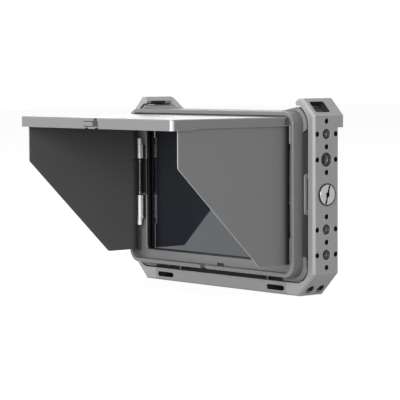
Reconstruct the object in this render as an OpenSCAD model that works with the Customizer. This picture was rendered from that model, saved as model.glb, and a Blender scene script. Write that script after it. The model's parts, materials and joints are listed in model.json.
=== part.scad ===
// Field monitor in a machined cage, with a folding sun hood in front of the screen.
// X runs across the screen, Y runs from the viewer to the back, Z is up.
// The origin is the middle of the bottom rail's lower face, at its threaded hole.

/* [Monitor body] */
// Width of the monitor body and of the hood frame
mon_w = 183.8; // [150:0.1:221]
// Height of the monitor body and of the hood frame
mon_h = 117; // [97:0.1:141]
// Depth of the monitor body without the hump on its back
mon_d = 26; // [22:0.1:32]
// Radius of the body's four corners
mon_r = 9; // [7:0.1:11]
// Depth of the front housing
front_housing_d = 8; // [7:0.1:10]
// Wall thickness of both housings
shell_t = 2; // [1.6:0.1:2.4]
// Width of the bezel on each side of the screen window
bezel_side = 11.9; // [10:0.1:14.2]
// Height of the bezel above and below the screen window
bezel_end = 10; // [8.4:0.1:12]
// Thickness of the front glass
glass_t = 1.2; // [1:0.1:1.5]
// How far the hump stands out of the back
hump_d = 5.5; // [4.6:0.1:6.6]
// Distance from the body's sides to the hump
hump_side = 33.9; // [28.3:0.1:40.6]
// Distance from the body's top and bottom to the hump
hump_end = 16.5; // [13.8:0.1:19.8]

/* [Cage] */
// Depth of the side plates, without the lip behind
cage_d = 24.6; // [21:0.1:29]
// Thickness of a side plate
plate_t = 6; // [5:0.1:7.2]
// Gap between a side plate and the monitor
side_gap = 4.1; // [3.4:0.1:4.9]
// Height of the bottom rail
rail_h = 9.2; // [8:0.1:11]
// Gap that the corner bumpers leave to the cage
bumper_gap = 1.2; // [1:0.1:1.5]
// Gap between the bottom rail and the monitor
bottom_gap = 4.7; // [4:0.1:5.6]
// Gap between the monitor's top and the hooks
top_gap = 4; // [3.4:0.1:4.8]
// Thickness of the roof that each side plate's hook makes
roof_t = 5.1; // [4.3:0.1:6]
// Size of the 45 degree corner at the bottom
low_cut = 16.4; // [14:0.1:19]
// Size of the 45 degree corner at the top
top_cut = 12; // [10:0.1:13]
// How far the hook reaches in from the outer face
hook_reach = 19; // [17.5:0.1:22]
// How far the foot reaches in from the outer face to the rail
foot_reach = 28; // [25:0.1:33]
// Thickness of the lip behind
lip_t = 5.2; // [4.4:0.1:6.2]
// Bevel along the outer edges of the plates
edge_bevel = 1.4; // [1:0.1:1.6]

/* [Sun hood] */
// Depth of the hood frame
hood_d = 9; // [8.6:0.1:10.5]
// Thickness of the hood frame's floor
floor_t = 1.2; // [1:0.1:1.4]
// Width of the hood frame's rim
rim_t = 2.7; // [2.3:0.1:3.2]
// How far the hood frame's opening stands clear of the screen window at the sides
view_clear_side = 1; // [0.8:0.05:1.2]
// How far it stands clear above and below
view_clear_end = 0.65; // [0.5:0.05:0.8]
// Gap between the lid's sides and the hood frame's rim
lid_side_gap = 2.3; // [1.9:0.1:2.8]
// Sheet thickness of the lid
lid_t = 0.8; // [0.7:0.1:1]
// Height of the lid's front skirt
skirt_h = 7.6; // [7:0.1:7.8]
// Sheet thickness of the flaps
flap_t = 0.8; // [0.7:0.1:1]
// Length of a flap's front edge that stands upright
flap_upright = 26.8; // [22:0.1:32]
// How far the sloping edge runs back for each millimetre that it drops
flap_slope = 1.03; // [0.85:0.01:1.25]
// Height of a flap's lower edge above the hood frame's rim
flap_lift = 6.6; // [5.5:0.1:8]
// Gap between a flap and the lid's side skirt
flap_side_gap = 0.6; // [0.5:0.05:0.75]

/* [Flap hinge] */
// Radius of the knuckles and eyes
knuckle_r = 1.6; // [1.4:0.05:1.7]
// Radius of the hinge pin
pin_r = 0.6; // [0.5:0.05:0.7]
// Running clearance on the pin
pin_clear = 0.05; // [0.03:0.01:0.08]
// Diameter of the spring wire
wire_d = 0.55; // [0.45:0.05:0.6]
// Pitch of the spring's open turns
spring_pitch = 1.4; // [1.2:0.1:1.7]
// Length of the spring
spring_len = 28; // [23.3:0.1:33.6]
// Length of the upper knuckle
knuckle_up = 10.4; // [9:0.1:12.4]
// Length of the lower knuckle
knuckle_low = 18; // [15:0.1:21]
// Length of each eye
eye_len = 4.6; // [3.9:0.1:5.5]
// Gap between neighbours along the pin
hinge_gap = 0.2; // [0.15:0.05:0.3]

/* [Holes] */
// Bore radius of a 1/4 inch thread
quarter_r = 2.6; // [2.5:0.05:2.7]
// Bore radius of a 3/8 inch thread
three_eighth_r = 4; // [3.9:0.05:4.1]
// Radius of the locating holes
locating_r = 1.95; // [1.6:0.05:2.1]
// Distance from a threaded hole to its locating holes
hole_pitch = 9; // [8.5:0.1:10]
// Distance from the last locating hole to the plate's corner
hole_end = 4; // [3.3:0.1:4.8]
// Radius of the coin screw's head
coin_r = 7.1; // [6:0.1:8]

/* [Hidden] */
$fn = 48;

// Small amount that lets a cut run past a face
over = 0.5;

// Cage, from the monitor outwards
cage_w = mon_w + 2 * (side_gap + plate_t);
cage_h = rail_h + bottom_gap + mon_h + top_gap + roof_t;
plate_out = cage_w / 2;
plate_in = plate_out - plate_t;
roof_z = cage_h - roof_t;
mon_z = rail_h + bottom_gap + mon_h / 2;
cage_front = -cage_d / 2;
cage_back = cage_d / 2;
inner_top_r = 15.8;
inner_top_drop = 14.3;
inner_low_r = 12;
nose_cut = 3;
nose_tip = 1;
lip_drop = 20.6;
lip_bottom = cage_h - lip_drop;
lip_top_in = 13.6;
lip_in = 34;
lip_slope = 0.68;
rail_half = plate_out - foot_reach;
rail_slot_l = 18.6;
rail_slot_h = 3.8;
rail_slot_x = rail_half - 12.2;
rail_screw_y = 5;
rail_screw_z = rail_h / 2;
rail_screw_r = 1.5;
rail_head_r = 2.75;
rail_head_t = 3;
rail_head_depth = 17;
rail_screw_grip = 8;
rail_screw_l = foot_reach - rail_head_depth + rail_screw_grip;
rail_socket_r = 1.44;
rail_socket_depth = 2;
roof_window_w = 14;
roof_window_y = -1;
roof_window_l = 10.6;
roof_window_r = 1.6;
roof_window_in = 9;
roof_window_out = 3;
countersink = 1.3;
stud_r = 1.2;
stud_sink = 1;
stud_x = [-49, 49];
stud_y = [-7.5, 7.5];
rail_pad_w = 9;
rail_pad_half = 66;

// Outer contour of the right side plate, from the hook's nose to the foot
plate_contour = [
    [plate_out - hook_reach + nose_cut, cage_h],
    [plate_out - top_cut, cage_h],
    [plate_out, cage_h - top_cut],
    [plate_out, low_cut],
    [plate_out - low_cut, 0],
    [plate_out - foot_reach, 0]
];

// Monitor, from the front to the back
window_w = mon_w - 2 * bezel_side;
window_h = mon_h - 2 * bezel_end;
back_seat = 0.3;
mon_back = cage_back - back_seat;
mon_front = mon_back - mon_d;
housing_split = mon_front + front_housing_d;
front_wall = 2.4;
glass_front = mon_front + front_wall;
glass_back = glass_front + glass_t;
glass_w = window_w + 8;
glass_h = window_h + 8;
glass_r = 3;
lcd_w = window_w + 3;
lcd_h = window_h + 3;
lcd_t = 1.4;
backlight_t = 2.6;
lcd_back = glass_back + lcd_t;
backlight_back = lcd_back + backlight_t;
body_bevel = 1;
hump_w = mon_w - 2 * hump_side;
hump_h = mon_h - 2 * hump_end;
hump_r = 8;
hump_bevel = 2.5;
hump_back = mon_back + hump_d;
boss_r = 2.4;
boss_x = mon_w / 2 - shell_t - boss_r - 0.3;
boss_z = 35;
boss_bore_r = 1.05;
case_screw_r = 1.2;
case_head_r = 2.1;
case_head_t = 1.3;
case_head_sink = 1.6;
case_socket_r = 0.9;
case_socket_depth = 0.9;

// Inset panel and thread block in each side of the body
panel_t = 0.8;
panel_front = mon_front + 0.4;
panel_back = panel_front + 22.4;
panel_h = mon_h - 24;
panel_r = 6;
panel_gap = 0.8;
panel_sink = 0.2;
panel_cut = panel_t + panel_sink;
block_front = panel_front + 1.6;
block_back = panel_back - 1.2;
block_h = 29;
block_r = 2;
block_proud = 0.5;
block_depth = 7;
block_out = mon_w / 2 + block_proud;

// Bumpers round the body's corners
bumper_seat = 0.1;
bumper_front = mon_front + 0.5;
bumper_back = mon_back - 0.5;
bumper_bevel = 1.4;
bumper_top_r = inner_top_r - bumper_gap - 0.4;
bumper_low_r = inner_low_r - bumper_gap;
bumper_tail = 23;
bumper_top = 3;
bumper_step = 0.1;
bumper_end = 2.8;

// Pads between the thread blocks and the side plates
pad_inset_y = 2;
pad_inset_z = 3;
pad_r = 2;

// Coin screw
coin_proud = 1.3;
coin_bevel = 0.4;
coin_sink = 1.2;
coin_ring_r = coin_r + 0.9;
coin_ring_t = 0.7;
coin_shank_r = 3.1;
coin_shank_clear = 0.08;
coin_pass_r = 3.4;
coin_slot_w = 1.7;
coin_slot_l = 2 * coin_r + 1;
coin_slot_d = 1.1;
coin_slot_turn = -16;
coin_socket_r = 2;
coin_socket_depth = 1.8;
coin_tip = block_out - 6.5;
coin_pocket_r = coin_r + 0.2;

// Rows of holes in a side plate, as heights above and below its middle
hole_row_wall = 0.8;
straight_half = min(cage_h - top_cut - mon_z, mon_z - low_cut);
last_hole = straight_half - hole_end;
outer_hole = last_hole - hole_pitch;
inner_hole = outer_hole - 2 * hole_pitch;
single_rows = [
    for (z = [inner_hole - hole_pitch, inner_hole + hole_pitch, last_hole])
        if (z > coin_pocket_r + locating_r + hole_row_wall) z
];

// Hood frame
hood_back = mon_front;
hood_front = hood_back - hood_d;
floor_front = hood_back - floor_t;
rim_in_w = mon_w - 2 * rim_t;
rim_in_h = mon_h - 2 * rim_t;
rim_in_r = mon_r - rim_t;
rim_bevel = 0.4;
hood_window_w = window_w + 2 * view_clear_side;
hood_window_h = window_h + 2 * view_clear_end;
hood_window_r = 3;
window_bevel = 0.4;
rim_in_top = mon_z + rim_in_h / 2;
rim_in_bottom = mon_z - rim_in_h / 2;
catch_x = -1.2;
rim_notch_w = 6.6;
rim_notch_x = catch_x - 4.1;
floor_slot_w = 7.8;
floor_slot_x = catch_x + 6.6;
floor_slot_h = 1.6;

hood_screw_r = 1;
hood_head_r = 1.9;
hood_socket_r = 0.75;
hood_socket_depth = 0.6;
hood_screw_x = 30;
hood_screw_z = 45;
hood_screw_at = [
    for (sx = [-1, 1], place = [[hood_screw_x, (rim_in_h + hood_window_h) / 4],
                                [(rim_in_w + hood_window_w) / 4, hood_screw_z]])
        [sx * place[0], place[1]]
];

// Lid
lid_w = rim_in_w - 2 * lid_side_gap;
lid_gap = 1.1;
lid_top = rim_in_top - lid_gap;
lid_axis_drop = 2.2;
lid_axis_z = lid_top - lid_axis_drop;
lid_axis_y = hood_front + lid_axis_drop;
lid_len = lid_axis_z - rim_in_bottom - 0.2;
lid_front = lid_axis_y - lid_len;
lid_knuckle_r = 1.15;
lid_rear = lid_axis_y + lid_knuckle_r;
lid_r = 3.4;
lid_bevel = 0.5;
side_skirt_h = 6.4;
skirt_step_y = lid_front + 17;
skirt_step_l = 8.5;
skirt_end = hood_front - 3;
lid_relief_w = rim_in_r - lid_side_gap - 0.6;
lid_relief_y = hood_front - 1.2;
tongue_root = catch_x - 9;
tongue_end = catch_x + 1.4;
catch_window_w = 6.6;
catch_slit = 0.6;
slit_low_z = lid_top - 6.2;
slit_high_z = lid_top - 2.8;
catch_middle = tongue_end + catch_window_w / 2;
catch_gap = 0.35;
catch_neck_w = 4;
catch_notch_w = 3.8;
catch_notch_h = 0.8;
catch_notch_x = [catch_middle - 11.9, catch_middle - 0.4];
catch_base_t = 1.2;
catch_base_edge = 1.3;
lid_hinge_x = 52;
lid_eye_len = 5;
lid_knuckle_len = 9;

// Flaps
flap_out = lid_w / 2 - lid_t - flap_side_gap;
flap_in = flap_out - flap_t;
flap_axis_x = flap_in - 0.6;
flap_axis_y = floor_front - 3.7;
flap_rear = flap_axis_y - knuckle_r - 0.1;
flap_front = lid_front + 6.7;
flap_bottom = rim_in_bottom + flap_lift;
flap_top = lid_top - side_skirt_h + 0.2;
flap_corner_r = 3;
round_slack = 0.01;
flap_slope_z = flap_top - flap_upright;
flap_slope_y = flap_front + flap_slope * (flap_slope_z - flap_bottom);

// Flap hinge, stations along the pin from its lower end
hinge_low = mon_z - 30.6;
eye_low_top = hinge_low + eye_len;
low_knuckle_z = eye_low_top + hinge_gap;
spring_z = low_knuckle_z + knuckle_low + hinge_gap;
up_knuckle_z = spring_z + spring_len + hinge_gap;
eye_up_z = up_knuckle_z + knuckle_up + hinge_gap;
hinge_top = eye_up_z + eye_len;
leaf_t = 0.8;
leaf_in = hood_window_w / 2 + 0.5;
leaf_foot = 0.7;
leaf_slot_w = 1.5;
leaf_slot_from = 0.15;
leaf_slot_share = 0.74;
spring_r = pin_r + 0.1 + wire_d / 2;
spring_leg = 9.5;
spring_foot = 2.2;
spring_seat = 0.05;
spring_bend = 0.8;
spring_sides = 6;
spring_steps = 12;
closed_turns = 3;
turn_gap = 0.02;
pocket_w = 4.6;

// Battery plate, latch and sockets on the back
plate_w = 74;
plate_h = 50;
plate_base_t = 2;
plate_top_gap = 7;
plate_z = mon_z + hump_h / 2 - plate_top_gap - plate_h / 2;
vent_w = 2.4;
vent_pitch = 5;
vent_edge = 6;
vent_h = plate_h - 14;
pocket_gap = 0.4;
pocket_front = mon_back + 0.8;
base_back = pocket_front + plate_base_t;
battery_rail_w = 5;
battery_rail_t = 1.2;
rail_notch_h = 11;
rail_notch_z = [-14, 6];
contact_w = 24;
contact_h = 5;
contact_gap = 0.2;
blade_t = 1.2;
blade_x = [-8, 0, 8];
latch_rise = 4;
latch_floor = 0.3;
latch_grip_z = [-3, -1, 1];
latch_grip_h = 0.8;
latch_w = 9;
latch_h = 9;
latch_travel = 2.5;
latch_gap = 0.25;
latch_t = 1.5;
latch_turns = 4;
latch_spring_r = 0.6;
latch_wire = 0.3;
pocket_z = plate_z - plate_h / 2 + latch_h / 2 + latch_rise;
socket_rise = 8.5;
socket_recess = 0.2;
socket_floor_t = 1;
socket_z = mon_z - mon_h / 2 + socket_rise;
hdmi_w = 15.4;
hdmi_h = 6;
hdmi_x = [-58, -36];
hdmi_wall = 0.6;
hdmi_taper = 1.6;
hdmi_tongue_w = 10.6;
hdmi_tongue_t = 1.2;
usb_w = 9.4;
usb_h = 3.6;
usb_x = -16;
usb_wall = 0.35;
usb_tongue_w = 6.6;
usb_tongue_t = 0.7;
dc_r = 4.4;
dc_bore_r = 2.75;
dc_pin_r = 0.9;
dc_x = 4;
jack_r = 3.4;
jack_bore_r = 1.77;
jack_x = 22;
button_r = 4;
button_x = 46;
button_travel = 0.8;
button_proud = 1.2;
button_gap = 0.2;
button_flange_r = 5.2;
button_flange_t = 1;
board_y = backlight_back + 4;
board_t = 1.6;
board_w = 130;
board_edge = 9.5;
board_h = mon_h - 2 * board_edge;
board_drop = 4;
spacer_r = 2;
spacer_inset = 6;
socket_front = board_y + board_t;
chip_t = 1.5;
chips = [[-34, 12, 22], [10, 14, 18], [38, 8, 12], [-8, -16, 10]];
switch_w = 6;
switch_tip = 1.5;
switch_tip_r = 1.7;
sink_at = [-12, 12];
sink_w = 70;
sink_h = 30;
sink_base_t = 1.2;
fin_pitch = 6;
fin_t = 1.2;
fin_h = 2.2;

// Plain helpers

// A flat rectangle with true round corners
module rounded_sheet(w, h, r) {
    square([w - 2 * r, h], center = true);
    square([w, h - 2 * r], center = true);
    for (sx = [-1, 1], sy = [-1, 1])
        translate([sx * (w / 2 - r), sy * (h / 2 - r)])
            circle(r = r);
}

// Stands a flat XZ shape up between two Y values
module along_y(y_from, y_to) {
    translate([0, y_to, 0])
        rotate([90, 0, 0])
            linear_extrude(y_to - y_from)
                children();
}

// Lays a flat YZ shape out between two X values
module along_x(x_from, x_to) {
    translate([x_from, 0, 0])
        rotate([90, 0, 90])
            linear_extrude(x_to - x_from)
                children();
}

// A round bar along X
module bar_x(x_from, x_to, r) {
    translate([x_from, 0, 0])
        rotate([0, 90, 0])
            cylinder(r = r, h = x_to - x_from);
}

// A round bar along Y
module bar_y(y_from, y_to, r) {
    translate([0, y_to, 0])
        rotate([90, 0, 0])
            cylinder(r = r, h = y_to - y_from);
}

// A rounded slab from z = 0 to z = t with a bevel round its upper face
module bevelled_slab(w, h, r, t, bevel) {
    linear_extrude(t - bevel)
        rounded_sheet(w, h, r);
    translate([0, 0, t - bevel]) {
        translate([0, h / 2 - r, 0])
            rotate([90, 0, 0])
                linear_extrude(h - 2 * r)
                    bevel_profile(w, bevel);
        translate([-(w / 2 - r), 0, 0])
            rotate([90, 0, 90])
                linear_extrude(w - 2 * r)
                    bevel_profile(h, bevel);
        for (sx = [-1, 1], sy = [-1, 1])
            translate([sx * (w / 2 - r), sy * (h / 2 - r), 0])
                cylinder(r1 = r, r2 = r - bevel, h = bevel);
    }
}

module bevel_profile(w, bevel) {
    polygon([[-w / 2, 0], [w / 2, 0], [w / 2 - bevel, bevel], [-w / 2 + bevel, bevel]]);
}

// The same slab standing up, with its bevelled face towards the viewer
module slab_facing_front(w, h, r, y_front, y_back, bevel) {
    translate([0, y_back, mon_z])
        rotate([90, 0, 0])
            bevelled_slab(w, h, r, y_back - y_front, bevel);
}

// The same slab standing up, with its bevelled face towards the back
module slab_facing_back(w, h, r, y_front, y_back, bevel) {
    translate([0, y_front, mon_z])
        rotate([-90, 0, 0])
            bevelled_slab(w, h, r, y_back - y_front, bevel);
}

// A plain rounded slab standing up at the monitor's middle
module slab(w, h, r, y_front, y_back) {
    translate([0, 0, mon_z])
        along_y(y_front, y_back)
            rounded_sheet(w, h, r);
}

// Draws its children on the right side, or mirrored on the left
module on_side(side) {
    mirror([side < 0 ? 1 : 0, 0, 0])
        children();
}

// Cage

module plate_void() {
    far = plate_out - foot_reach - over;
    nose = plate_out - hook_reach;
    straight_top = roof_z - inner_top_drop;
    straight_low = rail_h + inner_low_r;
    translate([far, straight_low])
        square([plate_in - far, straight_top - straight_low]);
    translate([far, rail_h])
        square([plate_in - inner_low_r - far, inner_low_r + over]);
    translate([plate_in - inner_low_r, straight_low])
        circle(r = inner_low_r);
    intersection() {
        translate([far, straight_top - 2 * inner_top_r])
            square([plate_in - far, 2 * inner_top_r + inner_top_drop]);
        translate([plate_in - inner_top_r, straight_top])
            circle(r = inner_top_r);
    }
    translate([far, straight_top - over])
        square([plate_in - inner_top_r - far, inner_top_drop + over]);
    translate([far, rail_h])
        square([foot_reach - hook_reach + over, cage_h - rail_h + over]);
    polygon([
        [nose - over, cage_h - nose_cut],
        [nose, cage_h - nose_cut],
        [nose + nose_tip, roof_z],
        [nose + nose_tip, roof_z - over],
        [nose - over, roof_z - over]
    ]);
}

module plate_profile() {
    difference() {
        polygon(concat(plate_contour, [
            [plate_out - foot_reach, cage_h - nose_cut],
            [plate_out - hook_reach, cage_h - nose_cut]
        ]));
        plate_void();
    }
}

module lip_profile() {
    slope_end = cage_h - (lip_in - lip_top_in) * lip_slope;
    polygon([
        [plate_out - lip_top_in, cage_h],
        [plate_out - top_cut, cage_h],
        [plate_out, cage_h - top_cut],
        [plate_out, lip_bottom + edge_bevel],
        [plate_out - edge_bevel, lip_bottom],
        [plate_out - lip_in, lip_bottom],
        [plate_out - lip_in, slope_end]
    ]);
}

// Cuts the bevel along one straight edge of the contour, on the face at y
module edge_cut(from, to, y, facing, past_from, past_to) {
    run = to - from;
    length = norm(run);
    turn = atan2(run[1], run[0]);
    translate([from[0], y, from[1]])
        rotate([0, -turn, 0])
            translate([-past_from, 0, 0])
                rotate([90, 0, 90])
                    linear_extrude(length + past_from + past_to)
                        polygon([
                            [-facing * edge_bevel, over],
                            [-facing * edge_bevel, 0],
                            [0, -edge_bevel],
                            [facing * over, -edge_bevel],
                            [facing * over, over]
                        ]);
}

module plate_edge_cuts() {
    last = len(plate_contour) - 2;
    for (i = [0 : last])
        edge_cut(plate_contour[i], plate_contour[i + 1], cage_front, -1, over, i == last ? 0 : over);
    for (i = [0 : 1])
        edge_cut(plate_contour[i], plate_contour[i + 1], cage_back + lip_t, 1, over, over);
    edge_cut(plate_contour[2], [plate_out, lip_bottom], cage_back + lip_t, 1, over, over);
    edge_cut([plate_out, lip_bottom], plate_contour[3], cage_back, 1, 0, over);
    edge_cut(plate_contour[3], plate_contour[4], cage_back, 1, over, over);
}

// A threaded hole from the outer face, with its countersink
module side_thread(z, r) {
    translate([0, 0, z]) {
        bar_x(plate_in - over, plate_out + over, r);
        translate([plate_out - countersink, 0, 0])
            rotate([0, 90, 0])
                cylinder(r1 = r, r2 = r + countersink, h = countersink);
        bar_x(plate_out - 0.001, plate_out + over, r + countersink);
    }
}

module locating_hole(y, z) {
    translate([0, y, z])
        bar_x(plate_in - over, plate_out + over, locating_r);
}

module plate_holes() {
    side_thread(mon_z + outer_hole, quarter_r);
    side_thread(mon_z + inner_hole, three_eighth_r);
    side_thread(mon_z - inner_hole, quarter_r);
    side_thread(mon_z - outer_hole, quarter_r);
    for (s = [-1, 1]) {
        for (z = [inner_hole, outer_hole], y = [-hole_pitch, hole_pitch])
            locating_hole(y, mon_z + s * z);
        for (z = single_rows)
            locating_hole(0, mon_z + s * z);
    }
    translate([0, 0, mon_z]) {
        bar_x(plate_in - over, plate_out + over, coin_pass_r);
        bar_x(plate_out - coin_sink, plate_out + over, coin_pocket_r);
    }
    for (y = [-rail_screw_y, rail_screw_y])
        translate([0, y, rail_screw_z]) {
            bar_x(plate_out - foot_reach - over, plate_out, rail_screw_r + 0.1);
            bar_x(plate_out - rail_head_depth, plate_out, rail_head_r + 0.2);
        }
}

// The window in the top corner, square to its sloping face
module roof_window() {
    translate([plate_out - top_cut / 2, roof_window_y, cage_h - top_cut / 2])
        rotate([0, 45, 0])
            translate([0, 0, -roof_window_in])
                linear_extrude(roof_window_in + roof_window_out)
                    rounded_sheet(roof_window_l, roof_window_w, roof_window_r);
}

module side_plate(side) {
    color([0.57, 0.58, 0.59])
        on_side(side)
            difference() {
                union() {
                    along_y(cage_front, cage_back)
                        plate_profile();
                    along_y(cage_back, cage_back + lip_t)
                        lip_profile();
                }
                plate_edge_cuts();
                plate_holes();
                roof_window();
            }
}

module bottom_rail() {
    color([0.57, 0.58, 0.59])
        difference() {
            along_x(-rail_half, rail_half)
                polygon([
                    [cage_front + edge_bevel, 0],
                    [cage_back - edge_bevel, 0],
                    [cage_back, edge_bevel],
                    [cage_back, rail_h],
                    [cage_front, rail_h],
                    [cage_front, edge_bevel]
                ]);
            for (s = [-1, 1])
                translate([s * rail_slot_x, 0, rail_h / 2])
                    along_y(cage_front - over, cage_back + over)
                        rounded_sheet(rail_slot_l, rail_slot_h, rail_slot_h / 2 - 0.1);
            for (s = [-1, 1], y = [-rail_screw_y, rail_screw_y])
                on_side(s)
                    translate([0, y, rail_screw_z])
                        bar_x(plate_out - rail_head_depth - rail_screw_l - over, rail_half + over,
                              rail_screw_r);
            translate([0, 0, -over])
                cylinder(r = quarter_r, h = rail_h + 2 * over);
            cylinder(r1 = quarter_r + countersink, r2 = quarter_r, h = countersink);
            for (s = [-1, 1])
                translate([s * hole_pitch, 0, -over])
                    cylinder(r = locating_r, h = rail_h + 2 * over);
            for (x = stud_x, y = stud_y)
                translate([x, y, rail_h - stud_sink])
                    cylinder(r = stud_r, h = stud_sink + over);
        }
}

module rail_screws() {
    color([0.75, 0.76, 0.77])
        for (s = [-1, 1], y = [-rail_screw_y, rail_screw_y])
            on_side(s)
                translate([0, y, rail_screw_z])
                    difference() {
                        union() {
                            bar_x(plate_out - rail_head_depth - rail_screw_l,
                                  plate_out - rail_head_depth, rail_screw_r);
                            bar_x(plate_out - rail_head_depth,
                                  plate_out - rail_head_depth + rail_head_t, rail_head_r);
                        }
                        translate([plate_out - rail_head_depth + rail_head_t - rail_socket_depth, 0, 0])
                            rotate([0, 90, 0])
                                cylinder(r = rail_socket_r, h = rail_socket_depth + over, $fn = 6);
                    }
}

module coin_screw(side) {
    head_in = plate_out - coin_sink;
    head_out = plate_out + coin_proud;
    color([0.82, 0.82, 0.81])
        on_side(side)
            translate([0, 0, mon_z])
                difference() {
                    union() {
                        bar_x(coin_tip, head_in, coin_shank_r);
                        bar_x(head_in, head_out - coin_bevel, coin_r);
                        translate([head_out - coin_bevel, 0, 0])
                            rotate([0, 90, 0])
                                cylinder(r1 = coin_r, r2 = coin_r - coin_bevel, h = coin_bevel);
                    }
                    rotate([coin_slot_turn, 0, 0])
                        translate([head_out, 0, 0])
                            cube([2 * coin_slot_d, coin_slot_w, coin_slot_l], center = true);
                    translate([head_out - coin_socket_depth, 0, 0])
                        rotate([0, 90, 0])
                            cylinder(r = coin_socket_r, h = coin_socket_depth + over, $fn = 6);
                }
}

module coin_rings() {
    color([0.05, 0.05, 0.05])
        for (s = [-1, 1])
            on_side(s)
                translate([0, 0, mon_z])
                    difference() {
                        bar_x(plate_out, plate_out + coin_ring_t, coin_ring_r);
                        bar_x(plate_out - over, plate_out + coin_ring_t + over, coin_r + 0.15);
                    }
}

module side_pads() {
    color([0.12, 0.12, 0.12])
        for (s = [-1, 1])
            on_side(s)
                difference() {
                    translate([0, (block_front + block_back) / 2, mon_z])
                        along_x(block_out, plate_in)
                            rounded_sheet(block_back - block_front - 2 * pad_inset_y,
                                          block_h - 2 * pad_inset_z, pad_r);
                    translate([0, 0, mon_z])
                        bar_x(block_out - over, plate_in + over, coin_pass_r);
                }
}

module bottom_studs() {
    color([0.2, 0.2, 0.2])
        for (x = stud_x, y = stud_y)
            translate([x, y, rail_h - stud_sink])
                cylinder(r = stud_r, h = stud_sink + bottom_gap);
}

// The rubber strip on the rail that the monitor rests on, with room for a long screw
module rail_pad() {
    color([0.1, 0.1, 0.1])
        difference() {
            translate([-rail_pad_half, -rail_pad_w / 2, rail_h])
                cube([2 * rail_pad_half, rail_pad_w, bottom_gap]);
            translate([0, 0, rail_h - over])
                cylinder(r = quarter_r + countersink - 0.2, h = bottom_gap + 2 * over);
        }
}

// A disc of the bumper's outer radius, bevelled towards the viewer
module bumper_disc(x, z, r) {
    translate([x, bumper_back, z])
        rotate([90, 0, 0]) {
            cylinder(r = r, h = bumper_back - bumper_front - bumper_bevel);
            translate([0, 0, bumper_back - bumper_front - bumper_bevel])
                cylinder(r1 = r, r2 = r - bumper_bevel, h = bumper_bevel);
        }
}

// The upper bumper follows the hook's inner arc and runs out along the body's top
module top_bumper() {
    arc_x = plate_in - inner_top_r;
    arc_z = roof_z - inner_top_drop;
    crest_z = mon_z + mon_h / 2 + bumper_top;
    crest_x = arc_x + sqrt(pow(bumper_top_r, 2) - pow(crest_z - arc_z, 2));
    low_z = mon_z + panel_h / 2 - bumper_end;
    intersection() {
        bumper_disc(arc_x, arc_z, bumper_top_r);
        translate([crest_x, bumper_front - over, low_z])
            cube([plate_in - crest_x, bumper_back - bumper_front + 2 * over, cage_h - low_z]);
    }
    along_y(bumper_front, bumper_back)
        polygon([
            [mon_w / 2 - bumper_tail, mon_z + mon_h / 2],
            [crest_x, crest_z - bumper_step],
            [crest_x, mon_z + mon_h / 2 - mon_r / 2],
            [mon_w / 2 - mon_r, mon_z + mon_h / 2 - mon_r / 2]
        ]);
}

// The lower bumper follows the plate's inner arc and runs in over the rail
module low_bumper() {
    arc_x = plate_in - inner_low_r;
    arc_z = rail_h + inner_low_r;
    high_z = mon_z - panel_h / 2 + bumper_end;
    foot_z = rail_h + bumper_gap;
    intersection() {
        bumper_disc(arc_x, arc_z, bumper_low_r);
        translate([arc_x, bumper_front - over, 0])
            cube([inner_low_r, bumper_back - bumper_front + 2 * over, arc_z]);
    }
    along_y(bumper_front, bumper_back)
        polygon([
            [mon_w / 2 - bumper_tail, mon_z - mon_h / 2],
            [mon_w / 2 - bumper_tail + bottom_gap - bumper_gap, foot_z],
            [arc_x, foot_z],
            [arc_x, mon_z - mon_h / 2 + over],
            [mon_w / 2 - bumper_tail, mon_z - mon_h / 2 + over]
        ]);
    along_y(bumper_front, bumper_back)
        polygon([
            [arc_x, arc_z],
            [arc_x + bumper_low_r, arc_z],
            [arc_x + bumper_low_r, high_z],
            [arc_x, high_z]
        ]);
}

// Grey bumpers between the body's corners and the cage
module corner_bumpers() {
    color([0.42, 0.42, 0.43])
        for (s = [-1, 1])
            on_side(s)
                difference() {
                    union() {
                        top_bumper();
                        low_bumper();
                    }
                    slab(mon_w + 2 * bumper_seat, mon_h + 2 * bumper_seat, mon_r + bumper_seat,
                         bumper_front - over, bumper_back + over);
                    panel_area(mon_w / 2 - over, plate_in);
                }
}

// Monitor

module at_bosses() {
    for (sx = [-1, 1], sz = [-1, 1])
        translate([sx * boss_x, 0, mon_z + sz * boss_z])
            children();
}

// The side panel's outline with its gap, between two X values
module panel_area(x_from, x_to) {
    translate([0, (panel_front + panel_back) / 2, mon_z])
        along_x(x_from, x_to)
            rounded_sheet(panel_back - panel_front + 2 * panel_gap,
                          panel_h + 2 * panel_gap, panel_r + panel_gap);
}

// The recess in both sides of the body that takes the panel and the block
module side_recess() {
    for (s = [-1, 1])
        on_side(s) {
            panel_area(mon_w / 2 - panel_cut, mon_w / 2 + over);
            translate([0, (block_front + block_back) / 2, mon_z])
                along_x(block_out - block_depth - over, mon_w / 2 + over)
                    rounded_sheet(block_back - block_front, block_h, block_r);
        }
}

module front_housing() {
    color([0.2, 0.2, 0.21])
        difference() {
            slab(mon_w, mon_h, mon_r, mon_front, housing_split);
            slab(window_w, window_h, 2, mon_front - over, glass_front + over);
            difference() {
                slab(mon_w - 2 * shell_t, mon_h - 2 * shell_t, mon_r - shell_t,
                     glass_front, housing_split + over);
                at_bosses()
                    bar_y(glass_front - over, housing_split + 2 * over, boss_r);
            }
            at_bosses()
                bar_y(glass_front + 1, housing_split + over, boss_bore_r);
            side_recess();
        }
}

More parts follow.
